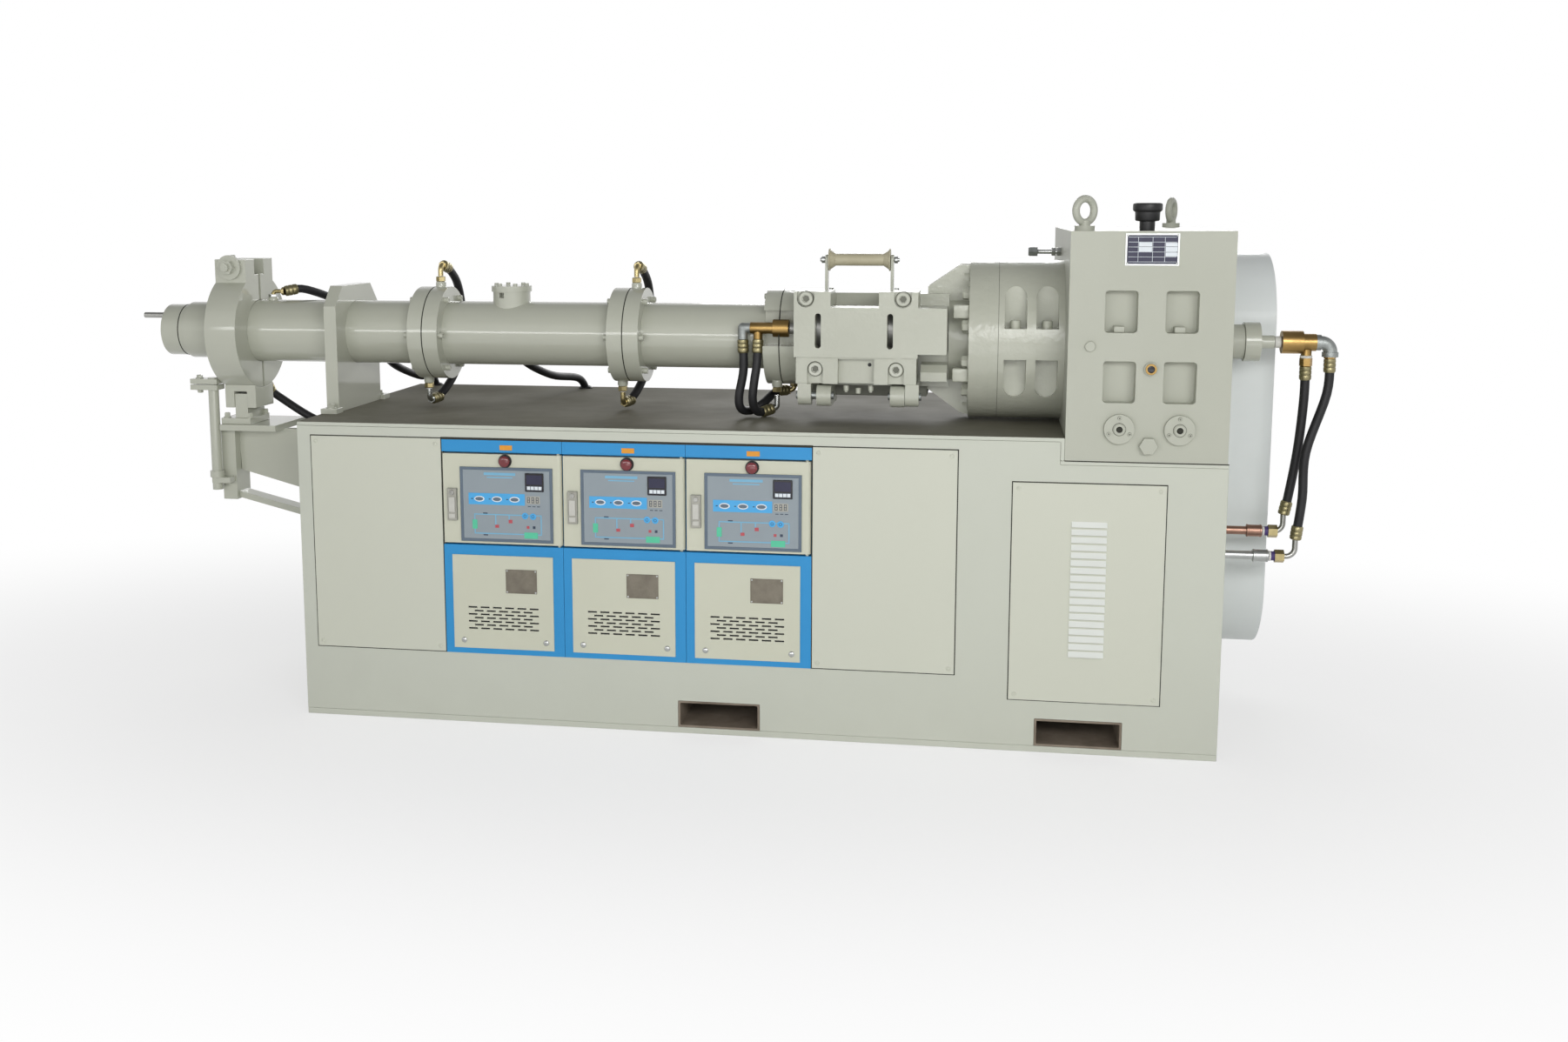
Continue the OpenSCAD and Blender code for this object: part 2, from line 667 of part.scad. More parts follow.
module drum_pockets() {
    for (x = [x_gear - 121, x_gear - 43]) {
        for (s = [-1, 1]) {
            y0 = s < 0 ? ya - drum_r - 10 : ya + drum_r - 62;
            rod_y(27.5, y0, y0 + 72, x, za + 118);
            slab(x - 27.5, x + 27.5, y0, y0 + 72, za + 41, za + 118);
            rod_y(27.5, y0, y0 + 72, x, za - 106);
            slab(x - 27.5, x + 27.5, y0, y0 + 72, za - 106, za - 36);
        }
    }
}

module bearing_drum() {
    color([0.64, 0.65, 0.58]) difference() {
        rod_x(drum_r, x_drum, x_gear);
        drum_pockets();
        rod_x(shaft_r + run_gap, x_drum - 1, x_gear + 1);
    }
}

window_x = [x_gear + 84, x_gear + 224];
// recess with round corners in the gearbox front
module window(x0, x1, z0, z1, r) {
    slab(x0 + r, x1 - r, yf - 1, yf + 36, z0, z1);
    slab(x0, x1, yf - 1, yf + 36, z0 + r, z1 - r);
    for (x = [x0 + r, x1 - r]) for (z = [z0 + r, z1 - r]) rod_y(r, yf - 1, yf + 36, x, z);
}
module gearbox() {
    color([0.80, 0.79, 0.73]) difference() {
        union() {
            slab(x_gear, x_gear_r, yf, yf + gear_w, seat_z, gear_z1);
            rod_x(70, x_gear_r - 1, x_gear_r + 40);
            rod_x(44, x_gear_r - 1, x_boss);
        }
        for (x = window_x) for (z = [za + 45, za - 123]) window(x, x + 76, z, z + 100, 9);
        rod_x(shaft_r + run_gap, x_gear - 1, x_boss + 1);
    }
}

module eye_bolt(x, y, turn) {
    translate([x, y, gear_z1]) rotate([0, 0, turn]) {
        rod_z(24, 0, 12, 0, 0);
        rod_z(13, 0, 24, 0, 0);
        translate([0, 0, 48]) rotate([90, 0, 0]) rotate_extrude() translate([28, 0]) circle(r = 9, $fn = 24);
    }
}
module eye_bolts() {
    color([0.74, 0.74, 0.67]) {
        union() eye_bolt(x_gear + 34, yf + 55, 38);
        union() eye_bolt(x_gear_r - 60, yf + gear_w - 55, 67);
    }
}

module breather_cap() {
    color([0.12, 0.12, 0.12]) union() {
        rod_z(18, gear_z1, gear_z1 + 30, x_gear + 180, yf + 60);
        rod_z(35, gear_z1 + 24, gear_z1 + 66, x_gear + 180, yf + 60);
    }
}

module gearbox_plugs() {
    color([0.72, 0.72, 0.68]) {
        for (x = [x_gear + 125, x_gear + 265]) difference() {
            rod_y(36, yf - 12, yf, x, za - 185);
            rod_y(12, yf - 13, yf - 4, x, za - 185);
        }
        translate([x_gear + 194, yf, za - 224]) rotate([90, 0, 0]) cylinder(r = 22, h = 18, $fn = 6);
        rod_y(16, yf - 10, yf, x_gear + 194, za - 40);
        rod_y(12, yf - 9, yf, x_gear + 52, za + 12);
    }
}

guard_y = yb - 220;
guard_z1 = za + 217;
module belt_guard() {
    color([0.72, 0.76, 0.77]) union() {
        for (z = [guard_z1 - guard_r, guard_z1 - guard_h + guard_r]) rod_x(guard_r, xr, xr + guard_t, guard_y, z);
        slab(xr, xr + guard_t, guard_y - guard_r, guard_y + guard_r, guard_z1 - guard_h + guard_r, guard_z1 - guard_r);
    }
}

// Water

// quarter bend in the XZ plane, from along +X at (x, z) to along -Z or +Z
module bend(r, tube_r, x, y, z, up) {
    translate([x, y, z + (up ? r : -r)]) rotate([90, 0, 0]) rotate([0, 0, up ? -90 : 0])
        rotate_extrude(angle = 90) translate([r, 0]) circle(r = tube_r);
}
module hex_x(r, x0, x1, y, z) {
    translate([x0, y, z]) rotate([0, 90, 0]) cylinder(r = r, h = x1 - x0, $fn = 6);
}
module hex_z(r, z0, z1, x, y) {
    translate([x, y, z0]) cylinder(r = r, h = z1 - z0, $fn = 6);
}

port_x = x_union + 62;
elbow_x = x_union + 120;
elbow_r = 24;
module screw_union() {
    color([0.72, 0.58, 0.28]) difference() {
        union() {
            rod_x(29, x_union, x_union + 52);
            rod_x(22, x_union + 51, x_union + 84);
            rod_x(14, x_union + 83, elbow_x - elbow_r);
            rod_x(20, elbow_x - elbow_r - 12, elbow_x - elbow_r);
            bend(elbow_r, 17, elbow_x - elbow_r, ya, za, false);
            rod_z(20, za - 36, za - elbow_r, elbow_x, ya);
            hex_z(15, za - 40, za - 35, elbow_x, ya);
            rod_z(13, za - 44, za, port_x, ya);
            hex_z(16, za - 60, za - 40, port_x, ya);
        }
        rod_x(9 + run_gap, x_union - 1, x_union + 22);
    }
}

pipe_z = [za - 495, za - 552];
pipe_y = [ya + 20, ya - 20];
pipe_len = [107, 119];
turn_x = [xr + 195, xr + 220];
turn_r = 22;
module cooling_pipes() {
    color([0.62, 0.52, 0.42]) for (i = [0, 1]) let(x = xr + pipe_len[i], y = pipe_y[i], z = pipe_z[i]) union() {
        rod_x(11, xr, x + 1, y, z);
        rod_x(15.5, x, x + 35, y, z);
        rod_x(12, x + 34, x + 52, y, z);
        hex_x(17, x + 51, x + 74, y, z);
        rod_x(7, x + 73, turn_x[i] - turn_r + 0.5, y, z);
        bend(turn_r, 7, turn_x[i] - turn_r, y, z, true);
        rod_z(7, z + turn_r - 0.5, z + 45, turn_x[i], y);
    }
}

loop_x = [x_seam1, x_seam2];
top_z = za + flange_r + 0.1;
low_z = za - flange_r - 0.1;
drop_y = [ya - 50, ya + 40];
zone_x = x_seam1 + 160;
// heights of the loops' fittings, and the angle of the fitting behind the clamp ring
loop_up = 58;
loop_down = 62;
stub_a = 150;
stub_r = clamp_r + 26.2;

module water_fittings() {
    color([0.70, 0.60, 0.35]) {
        for (x = loop_x) {
            union() {
                hex_z(14, top_z, top_z + 30, x + 14, ya);
                rod_z(9, top_z + 29, top_z + loop_up, x + 14, ya);
                rod_y(12, ya - 11, ya + 22, x + 14, top_z + loop_up);
            }
            union() {
                hex_z(14, low_z - 26, low_z, x - 28, ya);
                rod_z(9, low_z - loop_down, low_z - 25, x - 28, ya);
                rod_y(12, ya - 11, ya + 22, x - 28, low_z - loop_down);
            }
        }
        // under the rear flanges, for the feed roller's water
        union() {
            rod_z(13, low_z - 34, low_z + 5, x_seam3 - 21, drop_y[0]);
            rod_z(9, low_z - loop_down, low_z - 33, x_seam3 - 16, drop_y[0]);
            rod_x(12, x_seam3 - 26, x_seam3 - 4, drop_y[0], low_z - loop_down);
        }
        union() {
            rod_z(13, low_z - 22, low_z + 2.6, x_seam3 + 21, drop_y[1]);
            rod_x(12, x_seam3 + 2, x_seam3 + 34, drop_y[1], low_z - 22);
        }
        // on top of the front barrel, behind the clamp ring, and behind the middle barrel
        union() {
            rod_z(11, za + barrel_r + 0.1, za + barrel_r + 24, x_head + 85, ya);
            rod_x(12, x_head + 74, x_head + 120, ya, za + barrel_r + 24);
        }
        translate([x_head + 10, ya, za]) rotate([-stub_a, 0, 0]) translate([0, 0, clamp_r + 0.1]) cylinder(r = 11, h = 26);
        rod_y(12, ya + barrel_r + 0.1, ya + barrel_r + 34, zone_x, za);
    }
}

// Hoses: one tube of eight sides swept through route points

sides = 8;
function unit(v) = v / norm(v);
function heading(p, i) = unit(p[min(i + 1, len(p) - 1)] - p[max(i - 1, 0)]);
function across(t) = unit(cross(t, abs(t[1]) > 0.8 ? [1, 0, 0] : [0, 1, 0]));
function ring(c, t, r) = let(u = across(t), v = cross(t, u))
    [for (k = [0 : sides - 1]) c + r * cos(360 * k / sides) * u + r * sin(360 * k / sides) * v];
// a Catmull-Rom point between p[i] and p[i + 1]
function spline(p, i, s) = let(a = p[max(i - 1, 0)], b = p[i], c = p[i + 1], d = p[min(i + 2, len(p) - 1)])
    0.5 * (2 * b + (c - a) * s + (2 * a - 5 * b + 4 * c - d) * s * s + (3 * b - a - 3 * c + d) * s * s * s);
function smooth(p, n) = [for (i = [0 : len(p) - 2]) for (k = [0 : n - 1]) spline(p, i, k / n), p[len(p) - 1]];

// d0 and d1 are the ways the tube leaves its first fitting and meets its last one
module tube(route, d0, d1, n = 2) {
    p = smooth(route, n);
    m = len(p);
    points = [for (i = [0 : m - 1]) each ring(p[i], i == 0 ? d0 : i == m - 1 ? d1 : heading(p, i), hr)];
    walls = [for (i = [0 : m - 2]) for (k = [0 : sides - 1]) let(a = i * sides, b = a + sides, j = (k + 1) % sides)
        each [[a + k, a + j, b + j], [a + k, b + j, b + k]]];
    ends = [[for (k = [sides - 1 : -1 : 0]) k], [for (k = [0 : sides - 1]) (m - 1) * sides + k]];
    color([0.08, 0.08, 0.09]) polyhedron(points, concat(walls, ends));
}

module hose_screw_a() {
    x = port_x;
    tube([[x, ya, za - 60], [x, ya + 2, za - 150], [x - 8, ya + 10, za - 280], [turn_x[0] + 10, pipe_y[0], za - 400],
        [turn_x[0], pipe_y[0], pipe_z[0] + 45]], [0, 0, -1], [0, 0, -1]);
}
module hose_screw_b() {
    x = elbow_x;
    tube([[x, ya, za - 40], [x - 4, ya - 4, za - 130], [x - 50, ya - 16, za - 280], [turn_x[1] + 12, pipe_y[1], za - 400],
        [turn_x[1], pipe_y[1], pipe_z[1] + 45]], [0, 0, -1], [0, 0, -1]);
}
module hose_feed_a() {
    x = union_x1 - 122;
    tube([[x, roller_y, roller_z - 30], [x + 2, roller_y - 2, za - 80], [x - 10, roller_y - 2, za - 150], [x - 6, roller_y + 8, za - 184],
        [x + 14, roller_y + 44, za - 193], [x + 42, ya - 46, za - 178], [x + 72, ya + 12, low_z - 24],
        [x_seam3 + 2, drop_y[1], low_z - 22]], [0, 0, -1], [1, 0, 0]);
}
module hose_feed_b() {
    x = union_x1 - 82;
    tube([[x, roller_y, roller_z - 30], [x - 1, roller_y - 10, za - 60], [x - 8, roller_y - 15, za - 112], [x - 12, roller_y - 13, za - 158],
        [x - 5, roller_y + 6, za - 188], [x + 8, roller_y + 38, za - 195], [x_seam3 - 26, drop_y[0], low_z - loop_down]],
        [0, 0, -1], [1, 0, 0]);
}
module flange_loop(x) {
    tube([[x + 14, ya + 22, top_z + loop_up], [x + 17, ya + 62, za + 172], [x + 20, ya + 112, za + 136], [x + 19, ya + 148, za + 78],
        [x + 16, ya + 163, za + 4], [x + 11, ya + 152, za - 70], [x + 5, ya + 116, za - 126], [x - 6, ya + 72, za - 164],
        [x - 20, ya + 42, low_z - loop_down + 4], [x - 28, ya + 22, low_z - loop_down]], [0, 1, 0], [0, -1, 0]);
}
module hose_loop_1() { flange_loop(x_seam1); }
module hose_loop_2() { flange_loop(x_seam2); }
module hose_head_top() {
    x = x_head + 120;
    z = za + barrel_r + 24;
    tube([[x, ya, z], [x + 46, ya + 42, z + 3], [x + 112, ya + 150, za + 62], [x + 168, ya + 214, za - 40], [x + 204, ya + 272, za - 116],
        [x + 228, ya + 420, za - 168], [x + 240, ya + 500, deck_z + 34], [x + 244, ya + 530, deck_z]], [1, 0, 0], [0, 0, -1]);
}
module hose_head_bottom() {
    x = x_head + 10;
    tube([[x, ya + stub_r * sin(stub_a), za + stub_r * cos(stub_a)], [x + 7, ya + 106, za - 186], [x + 38, ya + 112, za - 211],
        [x + 124, ya + 112, za - 262], [x + 210, ya + 124, za - 298], [xl, ya + 135, deck_z - 100]],
        [0, sin(stub_a), cos(stub_a)], [1, 0, 0]);
}
module hose_zone() {
    tube([[zone_x, ya + barrel_r + 34, za], [zone_x + 8, ya + 164, za - 34], [zone_x + 28, ya + 192, za - 94], [zone_x + 70, ya + 330, za - 150],
        [zone_x + 112, ya + 476, deck_z + 36], [zone_x + 126, ya + 516, deck_z]], [0, 1, 0], [0, 0, -1]);
}

base_floor();
base_front_wall();
base_rear_wall();
base_end_walls();
deck_plate();
gearbox_seat();
fork_pockets();
front_cover_panels();
rear_cover_panels();
louvre_panel();
unit_cabinets();
unit_lower_panels();
unit_door_1();
unit_door_2();
unit_door_3();
barrel_front();
barrel_middle();
barrel_rear();
vent_plug();
barrel_support();
die_nose();
core_rod();
clamp_front_half();
clamp_rear_half();
clamp_bolt();
head_foot();
head_bracket();
swing_post();
feed_box();
feed_housing();
feed_hinge_pins();
feed_roller();
feed_union();
guide_bracket();
guide_roller();
feed_screw();
drive_shaft();
bearing_drum();
gearbox();
eye_bolts();
breather_cap();
gearbox_plugs();
belt_guard();
screw_union();
cooling_pipes();
water_fittings();
hose_screw_a();
hose_screw_b();
hose_feed_a();
hose_feed_b();
hose_loop_1();
hose_loop_2();
hose_head_top();
hose_head_bottom();
hose_zone();
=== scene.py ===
"""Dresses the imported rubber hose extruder: paint, metal, hoses, fasteners, unit fronts, camera and light."""

import json
import logging
import math
from dataclasses import dataclass
from enum import Enum
from functools import lru_cache
from typing import Callable, Dict, List, Optional, Sequence, Tuple

import bpy
from mathutils import Euler, Matrix, Vector


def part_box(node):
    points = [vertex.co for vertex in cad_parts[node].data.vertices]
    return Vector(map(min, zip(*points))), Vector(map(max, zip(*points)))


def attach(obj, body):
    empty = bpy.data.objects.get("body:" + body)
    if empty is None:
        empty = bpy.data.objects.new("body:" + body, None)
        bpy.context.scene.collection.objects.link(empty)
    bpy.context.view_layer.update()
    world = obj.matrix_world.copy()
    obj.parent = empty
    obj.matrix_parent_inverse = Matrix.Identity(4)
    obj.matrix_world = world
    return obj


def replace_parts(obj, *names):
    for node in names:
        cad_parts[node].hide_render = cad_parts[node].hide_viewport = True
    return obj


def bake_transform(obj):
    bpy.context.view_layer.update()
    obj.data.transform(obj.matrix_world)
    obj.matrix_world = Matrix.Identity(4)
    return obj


Piece = bpy.types.Object
Socket = bpy.types.NodeSocket
Tree = bpy.types.NodeTree
LOG = logging.getLogger("extruder")
Point = Tuple[float, float, float]
Colour = Tuple[float, float, float]
DisplayColour = Tuple[int, int, int]
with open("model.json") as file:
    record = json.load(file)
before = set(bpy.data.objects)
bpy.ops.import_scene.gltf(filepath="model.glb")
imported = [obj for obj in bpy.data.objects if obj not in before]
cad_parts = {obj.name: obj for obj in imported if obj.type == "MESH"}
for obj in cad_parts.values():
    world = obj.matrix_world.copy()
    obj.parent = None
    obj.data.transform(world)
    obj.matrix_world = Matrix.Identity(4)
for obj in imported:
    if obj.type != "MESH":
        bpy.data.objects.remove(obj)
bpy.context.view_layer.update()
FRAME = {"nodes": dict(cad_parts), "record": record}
SLOT_OF = {row["node"]: row["material_slot"] for row in FRAME["record"]["subparts"]}


def linear(red: int, green: int, blue: int) -> Colour:
    """Scene-linear colour from 8-bit display values."""
    def channel(value: int) -> float:
        """One channel through the display curve."""
        v = value / 255.0
        return v / 12.92 if v <= 0.04045 else ((v + 0.055) / 1.055) ** 2.4
    return (channel(red), channel(green), channel(blue))


class Body(Enum):
    """The CAD bodies that pieces ride on."""

    FRAME = "frame"
    HOUSING = "feed_housing_body"
    ROLLER = "feed_roller_body"
    GUIDE = "guide_roller_body"
    SCREW = "screw_body"
    DOOR_1 = "unit_door_1_body"
    DOOR_2 = "unit_door_2_body"
    DOOR_3 = "unit_door_3_body"


class Axis(Enum):
    """Ways a turned piece can point, as the rotation of a cylinder that stands on +Z."""

    X = (0.0, math.pi / 2, 0.0)
    Y = (-math.pi / 2, 0.0, 0.0)
    Z = (0.0, 0.0, 0.0)
    MINUS_X = (0.0, -math.pi / 2, 0.0)
    MINUS_Y = (math.pi / 2, 0.0, 0.0)
    MINUS_Z = (math.pi, 0.0, 0.0)


# Shared shader effects

PAINT_DEEP = 0.004
COAT_ROUGHNESS = 0.08


class Graph:
    """Adds shader nodes to a tree, each with its inputs."""

    def __init__(self, tree: Tree) -> None:
        """Keeps the tree that the nodes go to."""
        self.tree = tree

    def feed(self, node: bpy.types.Node, ins: Dict[object, object]) -> None:
        """Links or sets a node's inputs.

        Args:
            node: the node.
            ins: for each input a socket to link or a plain value.
        """
        for key, value in ins.items():
            if isinstance(value, Socket):
                self.tree.links.new(value, node.inputs[key])
            else:
                node.inputs[key].default_value = value

    def add(self, kind: str, ins: Dict[object, object], **settings: object) -> bpy.types.Node:
        """A new node.

        Args:
            kind: the node's type without its prefix.
            ins: for each input a socket to link or a plain value.
            settings: the node's own settings.

        Returns:
            The node.
        """
        node = self.tree.nodes.new("ShaderNode" + kind)
        for key, value in settings.items():
            setattr(node, key, value)
        self.feed(node, ins)
        return node

    def math(self, operation: str, *values: object) -> Socket:
        """The result of a Math node."""
        return self.add("Math", dict(enumerate(values)), operation=operation).outputs[0]

    def mix(self, share: object, first: object, second: object) -> Socket:
        """Two colours mixed by a share."""
        return self.add("Mix", {"Factor": share, 6: first, 7: second}, data_type="RGBA").outputs[2]

    def ramp(self, value: object, ins: Dict[object, object], **settings: object) -> Socket:
        """A value carried from one range to another."""
        return self.add("MapRange", {"Value": value, **ins}, **settings).outputs["Result"]

    def place(self, space: str) -> Socket:
        """Texture coordinates of one kind."""
        return self.add("TexCoord", {}).outputs[space]

    def noise(self, ins: Dict[object, object]) -> Socket:
        """Noise as a number."""
        return self.add("TexNoise", ins).outputs["Fac"]


class Effects:
    """Shader node groups that several finishes share, each built once."""

    GREY = (0.8, 0.8, 0.8, 1)
    DUST = (0.3, 0.28, 0.24, 1)

    @staticmethod
    def new(name: str, ins: Dict[str, object], outs: Sequence[str]) -> Tuple[Graph, object, bpy.types.Node]:
        """A new group with its sockets.

        Args:
            name: the group's name.
            ins: the default of each input, a number or a colour.
            outs: the outputs' names.

        Returns:
            The group's graph, its inputs' sockets and its output node.
        """
        tree = bpy.data.node_groups.new(name, "ShaderNodeTree")
        for label, default in ins.items():
            kind = "NodeSocketFloat" if isinstance(default, float) else "NodeSocketColor"
            tree.interface.new_socket(name=label, in_out="INPUT", socket_type=kind).default_value = default
        for label in outs:
            kind = "NodeSocketColor" if label == "Color" else "NodeSocketFloat"
            tree.interface.new_socket(name=label, in_out="OUTPUT", socket_type=kind)
        return Graph(tree), tree.nodes.new("NodeGroupInput").outputs, tree.nodes.new("NodeGroupOutput")

    @staticmethod
    @lru_cache(maxsize=None)
    def mottle() -> Tree:
        """Uneven colour: broad clouds around a base colour."""
        ins = {"Base": Effects.GREY, "Dark": Effects.GREY, "Cloud Scale": 2.0, "Amount": 0.3}
        graph, given, out = Effects.new("Mottle", ins, ("Color", "Mask"))
        cloud = graph.noise({"Vector": graph.place("Object"), "Scale": given["Cloud Scale"], "Detail": 6,
                             "Roughness": 0.62})
        patch = graph.ramp(cloud, {"From Min": 0.38, "From Max": 0.72})
        mask = graph.math("MULTIPLY", patch, given["Amount"])
        graph.feed(out, {"Color": graph.mix(mask, given["Base"], given["Dark"]), "Mask": mask})
        return graph.tree

    @staticmethod
    @lru_cache(maxsize=None)
    def floor_dust() -> Tree:
        """Dust and scuffs that gather low on a part, as a mask over the object's height."""
        ins = {"Color": Effects.GREY, "Dust": Effects.DUST, "High": 0.2, "Amount": 0.3}
        graph, given, out = Effects.new("FloorDust", ins, ("Color",))
        where = graph.place("Object")
        height = graph.add("SeparateXYZ", {0: where}).outputs["Z"]
        fade = graph.ramp(height, {"From Min": 0.0, "From Max": given["High"], "To Min": 1.0, "To Max": 0.0})
        patch = graph.math("MULTIPLY", fade, graph.noise({"Vector": where, "Scale": 9, "Detail": 8}))
        mask = graph.math("MULTIPLY", patch, given["Amount"])
        graph.feed(out, {"Color": graph.mix(mask, given["Color"], given["Dust"])})
        return graph.tree

    @staticmethod
    @lru_cache(maxsize=None)
    def brushed_coat() -> Tree:
        """Height of hand-applied paint: orange peel and sags."""
        ins = {"Peel Scale": 120.0, "Peel": 0.4, "Sag": 0.4}
        graph, given, out = Effects.new("BrushedCoat", ins, ("Height",))
        where = graph.place("Object")
        peel = graph.noise({"Vector": where, "Scale": given["Peel Scale"], "Detail": 2})
        stretch = graph.add("Mapping", {"Vector": where, "Scale": (26, 26, 5)}).outputs[0]
        sag = graph.noise({"Vector": stretch, "Scale": 1.0, "Detail": 3})
        fine = graph.math("MULTIPLY", peel, given["Peel"])
        graph.feed(out, {"Height": graph.math("MULTIPLY_ADD", sag, given["Sag"], fine)})
        return graph.tree


@dataclass(frozen=True)
class Finish:
    """One surface finish, built as a material on first use."""

    name: str
    colour: DisplayColour
    dark: DisplayColour
    roughness: float = 0.4
    metallic: float = 0.0
    cloud: float = 2.0
    mottle: float = 0.35
    peel_scale: float = 160.0
    peel: float = 0.35
    sag: float = 0.0
    bump: float = 0.08
    coat: float = 0.0
    dust: float = 0.0
    dust_high: float = 0.25
    rough_swing: float = 0.12
    specular: float = 0.35

    def material(self) -> bpy.types.Material:
        """The finish's material."""
        found = bpy.data.materials.get(self.name)
        if found is not None:
            return found
        mat = bpy.data.materials.new(self.name)
        mat.use_nodes = True
        graph = Graph(mat.node_tree)
        shader = mat.node_tree.nodes["Principled BSDF"]
        ins = {"Base": (*linear(*self.colour), 1), "Dark": (*linear(*self.dark), 1),
               "Cloud Scale": self.cloud,
               "Amount": self.mottle}
        mottle = graph.add("Group", ins, node_tree=Effects.mottle())
        colour = mottle.outputs["Color"]
        if self.dust:
            ins = {"Color": colour, "High": self.dust_high, "Amount": self.dust}
            colour = graph.add("Group", ins, node_tree=Effects.floor_dust()).outputs["Color"]
        ends = {"To Min": self.roughness, "To Max": min(1.0, self.roughness + self.rough_swing)}
        rough = graph.ramp(mottle.outputs["Mask"], ends)
        coat = graph.add("Group", {"Peel Scale": self.peel_scale, "Peel": self.peel, "Sag": self.sag},
                         node_tree=Effects.brushed_coat())
        bump = graph.add("Bump",
                         {"Strength": self.bump, "Distance": PAINT_DEEP, "Height": coat.outputs["Height"]})
        graph.feed(shader, {"Base Color": colour, "Roughness": rough, "Metallic": self.metallic,
                            "Specular IOR Level": self.specular, "Normal": bump.outputs["Normal"]})
        if self.coat:
            graph.feed(shader, {"Coat Weight": self.coat, "Coat Roughness": COAT_ROUGHNESS})
        return mat


def printed(name: str, colour: DisplayColour, dark: DisplayColour, roughness: float = 0.4) -> Finish:
    """A flat print on a display or plate."""
    return Finish(name, colour, dark, roughness, cloud=18, mottle=0.4, bump=0.02)


